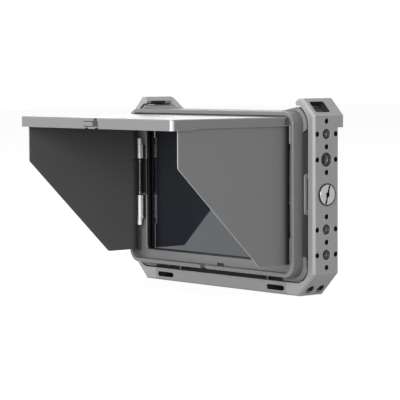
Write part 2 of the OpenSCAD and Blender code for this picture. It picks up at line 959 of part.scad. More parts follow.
module rear_shell_cavity() {
    difference() {
        union() {
            slab(mon_w - 2 * shell_t, mon_h - 2 * shell_t, mon_r - shell_t,
                 housing_split - over, mon_back - shell_t);
            slab(hump_w - 2 * shell_t - hump_bevel, hump_h - 2 * shell_t - hump_bevel,
                 hump_r - shell_t, mon_back - shell_t - over, hump_back - shell_t);
        }
        at_bosses()
            bar_y(housing_split - 2 * over, mon_back, boss_r + 0.8);
        translate([0, 0, plate_z])
            along_y(pocket_front - shell_t, hump_back)
                rounded_sheet(plate_w + 2 * shell_t, plate_h + 2 * shell_t, 3);
    }
}

module socket_holes() {
    for (x = hdmi_x)
        translate([x, 0, socket_z])
            along_y(mon_back - shell_t - over, mon_back + over)
                rounded_sheet(hdmi_w, hdmi_h, 1);
    translate([usb_x, 0, socket_z])
        along_y(mon_back - shell_t - over, mon_back + over)
            rounded_sheet(usb_w, usb_h, usb_h / 2 - 0.1);
    translate([dc_x, 0, socket_z])
        bar_y(mon_back - shell_t - over, mon_back + over, dc_r);
    translate([jack_x, 0, socket_z])
        bar_y(mon_back - shell_t - over, mon_back + over, jack_r);
    translate([button_x, 0, socket_z])
        bar_y(mon_back - shell_t - over, mon_back + over, button_r + button_gap);
}

// Upright slots on both sides of the battery plate
module vent_slots() {
    for (s = [-1, 1], x = [plate_w / 2 + vent_edge : vent_pitch : hump_w / 2 - hump_bevel - vent_w / 2])
        translate([s * x, 0, plate_z])
            along_y(hump_back - shell_t - over, hump_back + over)
                rounded_sheet(vent_w, vent_h, vent_w / 2 - 0.1);
}

module rear_housing() {
    color([0.16, 0.16, 0.17])
        difference() {
            union() {
                slab_facing_back(mon_w, mon_h, mon_r, housing_split, mon_back, body_bevel);
                slab_facing_back(hump_w, hump_h, hump_r, mon_back - over, hump_back, hump_bevel);
            }
            rear_shell_cavity();
            at_bosses() {
                bar_y(housing_split - over, mon_back + over, case_screw_r + 0.1);
                bar_y(mon_back - case_head_sink, mon_back + over, case_head_r + 0.2);
            }
            translate([0, 0, plate_z])
                along_y(pocket_front, hump_back + over)
                    rounded_sheet(plate_w + 2 * pocket_gap, plate_h + 2 * pocket_gap, 2);
            side_recess();
            socket_holes();
            vent_slots();
        }
}

module front_glass() {
    color([0.05, 0.06, 0.08])
        slab(glass_w, glass_h, glass_r, glass_front, glass_back);
}

module lcd_panel() {
    color([0.09, 0.1, 0.12])
        slab(lcd_w, lcd_h, 1, glass_back, lcd_back);
}

module backlight_unit() {
    color([0.85, 0.86, 0.86])
        slab(lcd_w, lcd_h, 1, lcd_back, backlight_back);
}

// The board stands on four spacers behind the backlight
module main_board() {
    color([0.05, 0.25, 0.14])
        translate([0, 0, mon_z - board_drop]) {
            along_y(board_y, board_y + board_t)
                rounded_sheet(board_w, board_h, 2);
            for (sx = [-1, 1], sz = [-1, 1])
                translate([sx * (board_w / 2 - spacer_inset), 0, sz * (board_h / 2 - spacer_inset)])
                    bar_y(backlight_back, board_y, spacer_r);
        }
}

module board_chips() {
    color([0.06, 0.06, 0.07])
        for (chip = chips)
            translate([chip[0], 0, mon_z + chip[1]])
                along_y(board_y + board_t, board_y + board_t + chip_t)
                    square([chip[2], chip[2]], center = true);
}

// The switch on the board that the power button presses
module button_switch() {
    tip = mon_back - shell_t - button_gap - button_flange_t - button_travel - 0.1;
    color([0.06, 0.06, 0.07])
        translate([button_x, 0, socket_z]) {
            along_y(socket_front, tip - switch_tip)
                square([switch_w, switch_w], center = true);
            bar_y(tip - switch_tip, tip, switch_tip_r);
        }
}

module heat_sink() {
    base_y = board_y + board_t + chip_t;
    color([0.7, 0.71, 0.72])
        translate([sink_at[0], 0, mon_z + sink_at[1]]) {
            along_y(base_y, base_y + sink_base_t)
                rounded_sheet(sink_w, sink_h, 1);
            for (x = [-(sink_w - 4) / 2 : fin_pitch : (sink_w - 4) / 2])
                translate([x, 0, 0])
                    along_y(base_y + sink_base_t - 0.2, base_y + sink_base_t + fin_h)
                        square([fin_t, sink_h - 2], center = true);
        }
}

module side_panels() {
    color([0.24, 0.24, 0.25])
        for (s = [-1, 1])
            on_side(s)
                difference() {
                    translate([0, (panel_front + panel_back) / 2, mon_z])
                        along_x(mon_w / 2 - panel_cut, mon_w / 2 - panel_sink)
                            rounded_sheet(panel_back - panel_front, panel_h, panel_r);
                    translate([0, (block_front + block_back) / 2, mon_z])
                        along_x(mon_w / 2 - shell_t, mon_w / 2 + over)
                            rounded_sheet(block_back - block_front, block_h, block_r);
                }
}

module side_thread_blocks() {
    color([0.48, 0.48, 0.49])
        for (s = [-1, 1])
            on_side(s)
                difference() {
                    translate([0, (block_front + block_back) / 2, mon_z])
                        along_x(block_out - block_depth, block_out)
                            rounded_sheet(block_back - block_front, block_h, block_r);
                    translate([0, 0, mon_z])
                        bar_x(coin_tip - 1, block_out + over, coin_shank_r + coin_shank_clear);
                }
}

module housing_screws() {
    color([0.3, 0.3, 0.3])
        at_bosses()
            difference() {
                union() {
                    bar_y(glass_front + 1.4, housing_split, boss_bore_r);
                    bar_y(housing_split, mon_back - case_head_sink, case_screw_r - 0.15);
                    bar_y(mon_back - case_head_sink, mon_back - case_head_sink + case_head_t,
                          case_head_r);
                }
                translate([0, mon_back, 0])
                    rotate([90, 0, 0])
                        cylinder(r = case_socket_r,
                                 h = case_head_sink - case_head_t + case_socket_depth, $fn = 6);
            }
}

// The plate that a battery slides down on, with its undercut rails
module battery_plate() {
    rail_top = hump_back;
    rail_x = plate_w / 2 - battery_rail_w / 2;
    color([0.1, 0.1, 0.1])
        translate([0, 0, plate_z])
            difference() {
                union() {
                    along_y(pocket_front, base_back)
                        rounded_sheet(plate_w, plate_h, 2);
                    for (s = [-1, 1])
                        translate([s * rail_x, 0, 0])
                            along_y(base_back - over, rail_top)
                                square([battery_rail_w, plate_h - 4], center = true);
                }
                for (s = [-1, 1], z = rail_notch_z)
                    translate([s * (rail_x - battery_rail_w / 2), 0, z])
                        along_y(base_back, rail_top - battery_rail_t)
                            square([battery_rail_w, rail_notch_h], center = true);
                translate([0, 0, plate_h / 2 - contact_h])
                    along_y(base_back - plate_base_t / 2, rail_top + over)
                        square([contact_w + 2 * contact_gap, contact_h + 2 * contact_gap], center = true);
                translate([0, 0, pocket_z - plate_z])
                    along_y(pocket_front + latch_floor, base_back + over)
                        square([latch_w + 2 * latch_gap,
                                latch_h + 2 * latch_gap + latch_travel], center = true);
            }
}

module battery_contacts() {
    color([0.8, 0.65, 0.3])
        translate([0, 0, plate_z + plate_h / 2 - contact_h]) {
            along_y(base_back - plate_base_t / 2, base_back)
                square([contact_w, contact_h], center = true);
            for (x = blade_x)
                translate([x, 0, 0])
                    along_y(base_back - over, hump_back - 0.6)
                        square([blade_t, contact_h - 1], center = true);
        }
}

// The sliding latch that holds the battery, at the lower end of its travel
module battery_latch() {
    color([0.2, 0.2, 0.2])
        translate([0, 0, pocket_z - latch_travel / 2]) {
            along_y(pocket_front + latch_floor + latch_gap, base_back + latch_t)
                rounded_sheet(latch_w, latch_h, 1);
            for (z = latch_grip_z)
                translate([0, 0, z])
                    along_y(base_back + latch_t - 0.2, base_back + latch_t + 0.5)
                        square([latch_w - 2, latch_grip_h], center = true);
        }
}

module latch_spring() {
    spring_top = pocket_z + (latch_h + latch_travel) / 2 + latch_gap;
    color([0.7, 0.7, 0.7])
        translate([0, pocket_front + 1.2, spring_top - latch_travel])
            wire_along([
                for (i = [0 : latch_turns * spring_steps])
                    let (a = 360 * i / spring_steps, share = i / (latch_turns * spring_steps))
                    [latch_spring_r * cos(a), latch_spring_r * sin(a),
                     latch_wire / 2 + share * (latch_travel - latch_wire)]
            ], latch_wire);
}

// Sockets open towards the back
module hdmi_sockets() {
    half_w = hdmi_w / 2 - 0.1 - hdmi_wall;
    half_h = hdmi_h / 2 - 0.1 - hdmi_wall;
    color([0.7, 0.7, 0.68])
        for (x = hdmi_x)
            translate([x, 0, socket_z]) {
                difference() {
                    along_y(socket_front, mon_back - socket_recess)
                        rounded_sheet(hdmi_w - 0.2, hdmi_h - 0.2, 0.8);
                    along_y(socket_front + socket_floor_t, mon_back)
                        polygon([
                            [-half_w, half_h],
                            [half_w, half_h],
                            [half_w, -half_h + hdmi_taper],
                            [half_w - hdmi_taper, -half_h],
                            [-half_w + hdmi_taper, -half_h],
                            [-half_w, -half_h + hdmi_taper]
                        ]);
                }
                translate([0, 0, 0.4])
                    along_y(socket_front, mon_back - socket_recess - 1.4)
                        square([hdmi_tongue_w, hdmi_tongue_t], center = true);
            }
}

module usb_c_socket() {
    color([0.7, 0.7, 0.68])
        translate([usb_x, 0, socket_z]) {
            difference() {
                along_y(socket_front, mon_back - socket_recess)
                    rounded_sheet(usb_w - 0.2, usb_h - 0.2, usb_h / 2 - 0.2);
                along_y(socket_front + socket_floor_t, mon_back)
                    rounded_sheet(usb_w - 0.2 - 2 * usb_wall, usb_h - 0.2 - 2 * usb_wall,
                                  usb_h / 2 - 0.2 - usb_wall);
            }
            along_y(socket_front, mon_back - socket_recess - 0.8)
                square([usb_tongue_w, usb_tongue_t], center = true);
        }
}

module dc_inlet() {
    color([0.08, 0.08, 0.08])
        translate([dc_x, 0, socket_z])
            difference() {
                bar_y(socket_front, mon_back - socket_recess, dc_r - 0.1);
                bar_y(socket_front + socket_floor_t, mon_back, dc_bore_r);
            }
    color([0.8, 0.8, 0.8])
        translate([dc_x, 0, socket_z])
            bar_y(socket_front, mon_back - 1.5, dc_pin_r);
}

module headphone_socket() {
    color([0.08, 0.08, 0.08])
        translate([jack_x, 0, socket_z])
            difference() {
                bar_y(socket_front, mon_back - socket_recess, jack_r - 0.1);
                bar_y(socket_front + socket_floor_t, mon_back, jack_bore_r);
            }
}

module power_button() {
    color([0.25, 0.25, 0.26])
        translate([button_x, 0, socket_z]) {
            bar_y(mon_back - shell_t - button_travel, mon_back + button_proud - 0.3, button_r);
            translate([0, mon_back + button_proud - 0.3, 0])
                rotate([-90, 0, 0])
                    cylinder(r1 = button_r, r2 = button_r - 0.3, h = 0.3);
            bar_y(mon_back - shell_t - button_gap - button_flange_t,
                  mon_back - shell_t - button_gap, button_flange_r);
        }
}

// Sun hood

module hood_frame() {
    color([0.52, 0.53, 0.54])
        difference() {
            slab_facing_front(mon_w, mon_h, mon_r, hood_front, hood_back, rim_bevel);
            slab(rim_in_w, rim_in_h, rim_in_r, hood_front - over, floor_front);
            slab(hood_window_w, hood_window_h, hood_window_r, floor_front - over, hood_back + over);
            slab_facing_back(hood_window_w + 2 * window_bevel, hood_window_h + 2 * window_bevel,
                             hood_window_r + window_bevel, floor_front - over,
                             floor_front + window_bevel, window_bevel);
            translate([rim_notch_x, hood_front, mon_z - mon_h / 2])
                cube([rim_notch_w, 9, 4 * rim_t], center = true);
            translate([floor_slot_x, (floor_front + hood_back) / 2, rim_in_bottom + floor_slot_h / 2])
                cube([floor_slot_w, 4 * floor_t, floor_slot_h], center = true);
            for (s = [-1, 1])
                on_side(s)
                    translate([flap_axis_x - pocket_w / 2 + 1.2, floor_front - over,
                               spring_z - hinge_gap])
                        cube([pocket_w, floor_t + 2 * over, spring_len + 2 * hinge_gap]);
            for (at = hood_screw_at)
                translate([at[0], 0, mon_z + at[1]]) {
                    bar_y(floor_front - over, hood_back + over, hood_screw_r + 0.1);
                    translate([0, floor_front, 0])
                        rotate([-90, 0, 0])
                            cylinder(r1 = hood_head_r + 0.1, r2 = hood_screw_r + 0.1, h = floor_t - 0.2);
                }
        }
}

// Countersunk screws that hold the hood frame to the front housing
module hood_screws() {
    color([0.6, 0.6, 0.61])
        for (at = hood_screw_at)
            translate([at[0], 0, mon_z + at[1]])
                difference() {
                    union() {
                        bar_y(floor_front, hood_back, hood_screw_r);
                        translate([0, floor_front, 0])
                            rotate([-90, 0, 0])
                                cylinder(r1 = hood_head_r, r2 = hood_screw_r, h = floor_t - 0.3);
                    }
                    translate([0, floor_front + hood_socket_depth, 0])
                        rotate([90, 0, 0])
                            cylinder(r = hood_socket_r, h = hood_socket_depth + over, $fn = 6);
                }
}

module lid_outline(inset) {
    half = lid_w / 2 - inset;
    r = lid_r - inset;
    front = lid_front + inset;
    translate([-half, front + r])
        square([2 * half, lid_rear - front - r]);
    translate([-half + r, front])
        square([2 * half - 2 * r, r + over]);
    for (s = [-1, 1])
        translate([s * (half - r), front + r])
            circle(r = r);
}

// The sheet of the lid with its bevelled front and side edges
module lid_blank() {
    depth = lid_rear - lid_front;
    translate([0, lid_rear, lid_top - skirt_h])
        intersection() {
            bevelled_slab(lid_w, 2 * depth, lid_r, skirt_h, lid_bevel);
            translate([-lid_w, -2 * depth, 0])
                cube([2 * lid_w, 2 * depth, skirt_h]);
        }
}

module lid() {
    inner_w = lid_w - 2 * lid_t;
    color([0.6, 0.61, 0.62])
        difference() {
            lid_blank();
            translate([0, 0, lid_top - skirt_h - over])
                linear_extrude(skirt_h - lid_t + over)
                    difference() {
                        lid_outline(lid_t);
                        translate([-lid_w, lid_rear - 0.001])
                            square([2 * lid_w, 1]);
                    }
            translate([-inner_w / 2, lid_rear - over, lid_top - skirt_h - over])
                cube([inner_w, 2 * over, skirt_h - lid_t + over]);
            along_x(-lid_w, lid_w)
                polygon([
                    [skirt_step_y, lid_top - skirt_h - over],
                    [skirt_step_y, lid_top - skirt_h],
                    [skirt_step_y + skirt_step_l, lid_top - side_skirt_h],
                    [skirt_end, lid_top - side_skirt_h],
                    [skirt_end, lid_top - lid_t - 0.6],
                    [lid_rear + over, lid_top - lid_t - 0.6],
                    [lid_rear + over, lid_top - skirt_h - over]
                ]);
            for (s = [-1, 1])
                on_side(s)
                    translate([lid_w / 2 - lid_relief_w, lid_relief_y, lid_top - skirt_h])
                        cube([lid_relief_w + over, lid_rear - lid_relief_y + over, skirt_h + over]);
            catch_cuts();
        }
}

// The catch in the front skirt: a tongue between two slits, a window at its end with a
// narrow neck up to the top, and two notches in the lower edge
module catch_cuts() {
    front_at = lid_front - over;
    deep = lid_t + 2 * over;
    translate([tongue_end, front_at, slit_low_z])
        cube([catch_window_w, deep, slit_high_z + catch_slit - slit_low_z]);
    translate([catch_middle - catch_neck_w / 2, front_at, slit_high_z])
        cube([catch_neck_w, deep, lid_top - slit_high_z + over]);
    for (z = [slit_low_z, slit_high_z])
        translate([tongue_root, front_at, z])
            cube([tongue_end - tongue_root + over, deep, catch_slit]);
    for (x = catch_notch_x)
        translate([x, front_at, lid_top - skirt_h - over])
            cube([catch_notch_w, deep, catch_notch_h + over]);
}

// The block that fills the catch's window from behind
module catch_block() {
    face_y = lid_front + 0.25;
    seat_y = lid_front + lid_t;
    color([0.5, 0.5, 0.51]) {
        translate([tongue_end + catch_gap, face_y, slit_low_z + catch_gap])
            cube([catch_window_w - 2 * catch_gap, seat_y - face_y,
                  slit_high_z + catch_slit - slit_low_z - 2 * catch_gap]);
        translate([catch_middle - catch_neck_w / 2 + catch_gap, face_y, slit_high_z])
            cube([catch_neck_w - 2 * catch_gap, seat_y - face_y, lid_top - catch_gap - slit_high_z]);
        translate([tongue_end - catch_base_edge, seat_y, slit_low_z - catch_base_edge / 2])
            cube([catch_window_w + 2 * catch_base_edge, catch_base_t,
                  lid_top - lid_t - 0.2 - slit_low_z + catch_base_edge / 2]);
    }
}

module lid_hinge_eyes() {
    color([0.75, 0.76, 0.77])
        for (s = [-1, 1])
            translate([s * lid_hinge_x, lid_axis_y, lid_axis_z])
                for (e = [-1, 1])
                    on_side(e)
                        difference() {
                            union() {
                                bar_x(lid_knuckle_len / 2 + hinge_gap,
                                      lid_knuckle_len / 2 + hinge_gap + lid_eye_len, lid_knuckle_r);
                                translate([lid_knuckle_len / 2 + hinge_gap,
                                           -lid_knuckle_r, 0])
                                    cube([lid_eye_len, 2 * lid_knuckle_r, lid_axis_drop - lid_t]);
                            }
                            bar_x(0, lid_knuckle_len + lid_eye_len, pin_r + pin_clear);
                        }
}

module lid_hinge_brackets() {
    color([0.75, 0.76, 0.77])
        for (s = [-1, 1])
            translate([s * lid_hinge_x - lid_knuckle_len / 2, 0, 0])
                difference() {
                    union() {
                        translate([0, lid_axis_y, lid_axis_z])
                            bar_x(0, lid_knuckle_len, lid_knuckle_r);
                        translate([0, lid_axis_y, lid_axis_z - lid_knuckle_r])
                            cube([lid_knuckle_len, floor_front - lid_axis_y, leaf_t]);
                        translate([0, floor_front - leaf_t, lid_axis_z - 3])
                            cube([lid_knuckle_len, leaf_t, 5]);
                    }
                    translate([0, lid_axis_y, lid_axis_z])
                        bar_x(-over, lid_knuckle_len + over, pin_r);
                }
}

module lid_hinge_pins() {
    half = lid_knuckle_len / 2 + hinge_gap + lid_eye_len;
    color([0.8, 0.8, 0.8])
        for (s = [-1, 1])
            translate([s * lid_hinge_x, lid_axis_y, lid_axis_z])
                bar_x(-half, half, pin_r);
}

// Rounds off a convex corner: the two directions lead from it along its edges.
// The circle reaches past them by a hair, so that no corners of the cut fall together
module round_off(corner, one, other, r) {
    half = acos(one * other) / 2;
    middle = (one + other) / norm(one + other);
    centre = corner + middle * r / sin(half);
    reach = r / tan(half);
    difference() {
        polygon([corner - middle, corner + one * reach, centre, corner + other * reach]);
        translate(centre)
            circle(r = r + round_slack);
    }
}

// Outline of a flap in the YZ plane, with round corners at the ends of its sloping edge
module flap_outline() {
    high = [flap_front, flap_slope_z];
    low = [flap_slope_y, flap_bottom];
    slope = (low - high) / norm(low - high);
    difference() {
        polygon([
            [flap_front, flap_top],
            high,
            low,
            [flap_rear, flap_bottom],
            [flap_rear, flap_top]
        ]);
        round_off(high, [0, 1], slope, flap_corner_r);
        round_off(low, -slope, [1, 0], flap_corner_r);
    }
}

module flap(side) {
    color([0.42, 0.43, 0.44])
        on_side(side)
            along_x(flap_in, flap_out)
                flap_outline();
}

// The two eyes that carry a flap on its pin, each with a web to the flap's edge
module hinge_eyes(side) {
    color([0.8, 0.81, 0.82])
        on_side(side)
            for (z = [hinge_low, eye_up_z])
                translate([0, 0, z])
                    difference() {
                        union() {
                            translate([flap_axis_x, flap_axis_y, 0])
                                cylinder(r = knuckle_r, h = eye_len);
                            translate([flap_in, flap_rear, 0])
                                cube([flap_t, flap_axis_y - flap_rear, eye_len]);
                        }
                        translate([flap_axis_x, flap_axis_y, -over])
                            cylinder(r = pin_r + pin_clear, h = eye_len + 2 * over);
                    }
}

// The bracket: two knuckles on one slotted leaf that lies on the hood frame's floor
module hinge_bracket(side) {
    color([0.8, 0.81, 0.82])
        on_side(side)
            for (part = [[low_knuckle_z, knuckle_low], [up_knuckle_z, knuckle_up]])
                translate([0, 0, part[0]])
                    difference() {
                        union() {
                            translate([flap_axis_x, flap_axis_y, 0])
                                cylinder(r = knuckle_r, h = part[1]);
                            translate([flap_axis_x - knuckle_r, flap_axis_y, 0])
                                cube([leaf_t, floor_front - flap_axis_y, part[1]]);
                            translate([leaf_in, floor_front - leaf_t, 0])
                                cube([flap_axis_x - knuckle_r - leaf_in + leaf_t, leaf_t, part[1]]);
                        }
                        translate([flap_axis_x, flap_axis_y, -over])
                            cylinder(r = pin_r, h = part[1] + 2 * over);
                        translate([flap_axis_x - knuckle_r - over,
                                   floor_front - leaf_foot - leaf_slot_w,
                                   part[1] * leaf_slot_from])
                            cube([leaf_t + 2 * over, leaf_slot_w, part[1] * leaf_slot_share]);
                    }
}

module hinge_pin(side) {
    color([0.7, 0.7, 0.7])
        on_side(side)
            translate([flap_axis_x, flap_axis_y, hinge_low])
                cylinder(r = pin_r, h = hinge_top - hinge_low);
}

// Number of turns that fill a length, closed ones at both ends and open ones between
function turns_in(length, wire, pitch) =
    2 * closed_turns
    + floor((length - wire - 2 * closed_turns * (wire + turn_gap)) / pitch);

// Height of the wire's centre above the coil's lowest turn
function coil_height(turn, turns, wire, pitch) =
    let (low = min(turn, closed_turns), high = max(turn - (turns - closed_turns), 0),
         open = turn - low - high)
    (low + high) * (wire + turn_gap) + open * pitch;

// Centre line of a coil round Z that starts and ends on its -X side
function coil_path(r, length, wire, pitch) =
    let (turns = turns_in(length, wire, pitch),
         reach = coil_height(turns, turns, wire, pitch),
         base = (length - reach) / 2)
    [for (i = [0 : turns * spring_steps])
        let (a = 180 + 360 * i / spring_steps)
        [r * cos(a), r * sin(a), base + coil_height(i / spring_steps, turns, wire, pitch)]];

// The direction of a path at one of its points
function path_run(path, i) =
    let (run = path[min(i + 1, len(path) - 1)] - path[max(i - 1, 0)])
    run / norm(run);

// One ring of wire round a point, square to the path there
function wire_ring(at, run, r) =
    let (side = cross(run, [0, 0, 1]) / norm(cross(run, [0, 0, 1])), rise = cross(side, run))
    [for (k = [0 : spring_sides - 1])
        at + r * cos(360 * k / spring_sides) * side + r * sin(360 * k / spring_sides) * rise];

// Sweeps a round wire along a path that never runs straight up
module wire_along(path, wire) {
    last = len(path) - 1;
    points = [
        for (i = [0 : last])
            each wire_ring(path[i], path_run(path, i), wire / 2)
    ];
    sides = [
        for (i = [0 : last - 1], k = [0 : spring_sides - 1])
            let (next = (k + 1) % spring_sides, a = i * spring_sides, b = a + spring_sides)
            [a + k, a + next, b + next, b + k]
    ];
    start_cap = [[for (k = [spring_sides - 1 : -1 : 0]) k]];
    end_cap = [[for (k = [0 : spring_sides - 1]) last * spring_sides + k]];
    polyhedron(points = points, faces = concat(sides, start_cap, end_cap));
}

// The torsion spring of a flap: its upper leg lies along the flap, its lower leg on the floor
module hinge_spring(side) {
    coil = coil_path(spring_r, spring_len, wire_d, spring_pitch);
    low_z = coil[0][2];
    top_z = coil[len(coil) - 1][2];
    on_floor = floor_front - flap_axis_y - wire_d / 2 - spring_seat;
    on_flap = flap_in - flap_axis_x - wire_d / 2 - spring_seat;
    color([0.35, 0.35, 0.35])
        on_side(side)
            translate([flap_axis_x, flap_axis_y, spring_z])
                mirror([0, 1, 0])
                    wire_along(concat(
                        [
                            [-spring_r - spring_foot, -on_floor, low_z],
                            [-spring_r - spring_bend + 0.2, -on_floor, low_z],
                            [-spring_r, -on_floor + spring_bend, low_z],
                            [-spring_r, -0.4, low_z]
                        ],
                        [for (i = [1 : len(coil) - 1]) [coil[i][0], -coil[i][1], coil[i][2]]],
                        [
                            [-spring_r, 1, top_z],
                            [on_flap - 0.4, 3.6, top_z],
                            [on_flap, 4.8, top_z],
                            [on_flap, spring_leg, top_z]
                        ]
                    ), wire_d);
}

side_plate(1);  // side_plate_right
side_plate(-1);  // side_plate_left
bottom_rail();
rail_screws();
coin_screw(1);  // coin_screw_right
coin_screw(-1);  // coin_screw_left
coin_rings();
side_pads();
bottom_studs();
rail_pad();
corner_bumpers();
front_housing();
rear_housing();
front_glass();
lcd_panel();
backlight_unit();
main_board();
board_chips();
button_switch();
heat_sink();
side_panels();
side_thread_blocks();
housing_screws();
battery_plate();
battery_contacts();
battery_latch();
latch_spring();
hdmi_sockets();
usb_c_socket();
dc_inlet();
headphone_socket();
power_button();
hood_frame();
hood_screws();
lid();
catch_block();
lid_hinge_eyes();
lid_hinge_brackets();
lid_hinge_pins();
flap(-1);  // left_flap
flap(1);  // right_flap
hinge_eyes(-1);  // left_hinge_eyes
hinge_eyes(1);  // right_hinge_eyes
hinge_bracket(-1);  // left_hinge_bracket
hinge_bracket(1);  // right_hinge_bracket
hinge_pin(-1);  // left_hinge_pin
hinge_pin(1);  // right_hinge_pin
hinge_spring(-1);  // left_hinge_spring
hinge_spring(1);  // right_hinge_spring
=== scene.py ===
"""Field monitor in a machined cage with a folding sun hood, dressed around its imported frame.

The frame brings every rigid piece at its real size and place. This script gives each piece
its finish, winds the springs of the flaps and of the battery latch, adds the ridges of the
cage's screw threads and sets up a plain studio with the camera at the photograph's angle.
X runs across the screen, Y from the viewer to the back and Z up, in metres.
"""

from __future__ import annotations

import json
import logging
import math
from collections.abc import Iterable
from dataclasses import dataclass, field
from enum import Enum

import bpy
from mathutils import Matrix, Vector

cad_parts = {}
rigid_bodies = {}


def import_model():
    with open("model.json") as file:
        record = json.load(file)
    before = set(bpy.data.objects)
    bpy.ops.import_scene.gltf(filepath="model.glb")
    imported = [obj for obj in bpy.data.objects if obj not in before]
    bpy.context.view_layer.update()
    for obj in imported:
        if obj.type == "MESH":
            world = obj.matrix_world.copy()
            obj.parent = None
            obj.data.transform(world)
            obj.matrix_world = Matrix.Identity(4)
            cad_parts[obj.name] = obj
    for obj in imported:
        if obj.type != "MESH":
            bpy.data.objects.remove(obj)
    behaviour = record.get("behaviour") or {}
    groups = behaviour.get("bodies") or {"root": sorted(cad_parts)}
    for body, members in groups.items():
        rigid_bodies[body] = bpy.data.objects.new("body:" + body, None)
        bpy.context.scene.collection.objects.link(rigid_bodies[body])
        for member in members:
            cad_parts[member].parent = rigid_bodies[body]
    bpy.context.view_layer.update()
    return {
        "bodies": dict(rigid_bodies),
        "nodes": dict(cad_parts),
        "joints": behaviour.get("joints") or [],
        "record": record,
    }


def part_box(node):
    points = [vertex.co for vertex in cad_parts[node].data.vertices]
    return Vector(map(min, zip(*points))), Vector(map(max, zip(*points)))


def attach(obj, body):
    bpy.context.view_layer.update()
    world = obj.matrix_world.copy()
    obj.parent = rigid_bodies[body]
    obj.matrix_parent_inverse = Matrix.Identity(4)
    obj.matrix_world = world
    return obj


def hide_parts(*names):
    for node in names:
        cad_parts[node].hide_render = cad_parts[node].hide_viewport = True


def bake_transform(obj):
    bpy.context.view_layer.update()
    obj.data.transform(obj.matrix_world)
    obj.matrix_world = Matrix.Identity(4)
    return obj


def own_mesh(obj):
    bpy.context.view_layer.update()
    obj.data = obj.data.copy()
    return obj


LOG = logging.getLogger("field_monitor")
MM = 0.001
ROOT_BODY = "cage_and_monitor"
SLANT = math.sqrt(0.5)
WIRE_CREASE = 60.0
WHITE = (1.0, 1.0, 1.0)

Point = tuple[float, float, float]
Colour = tuple[float, float, float]
Piece = bpy.types.Object
Material = bpy.types.Material
Tree = bpy.types.NodeTree
Socket = bpy.types.NodeSocket
Outputs = bpy.types.bpy_prop_collection


class Side(Enum):
    """The two sides of the monitor, as the sign of X."""

    LEFT = -1
    RIGHT = 1

    @property
    def word(self) -> str:
        """The side's name, as the frame's nodes and bodies spell it."""
        return self.name.lower()


class Axis(Enum):
    """The axes, in the order of a point's numbers."""

    X = 0
    Y = 1
    Z = 2


def paint(colour: Colour) -> tuple[float, float, float, float]:
    """Adds the opaque alpha that a colour socket expects."""
    return (*colour, 1.0)


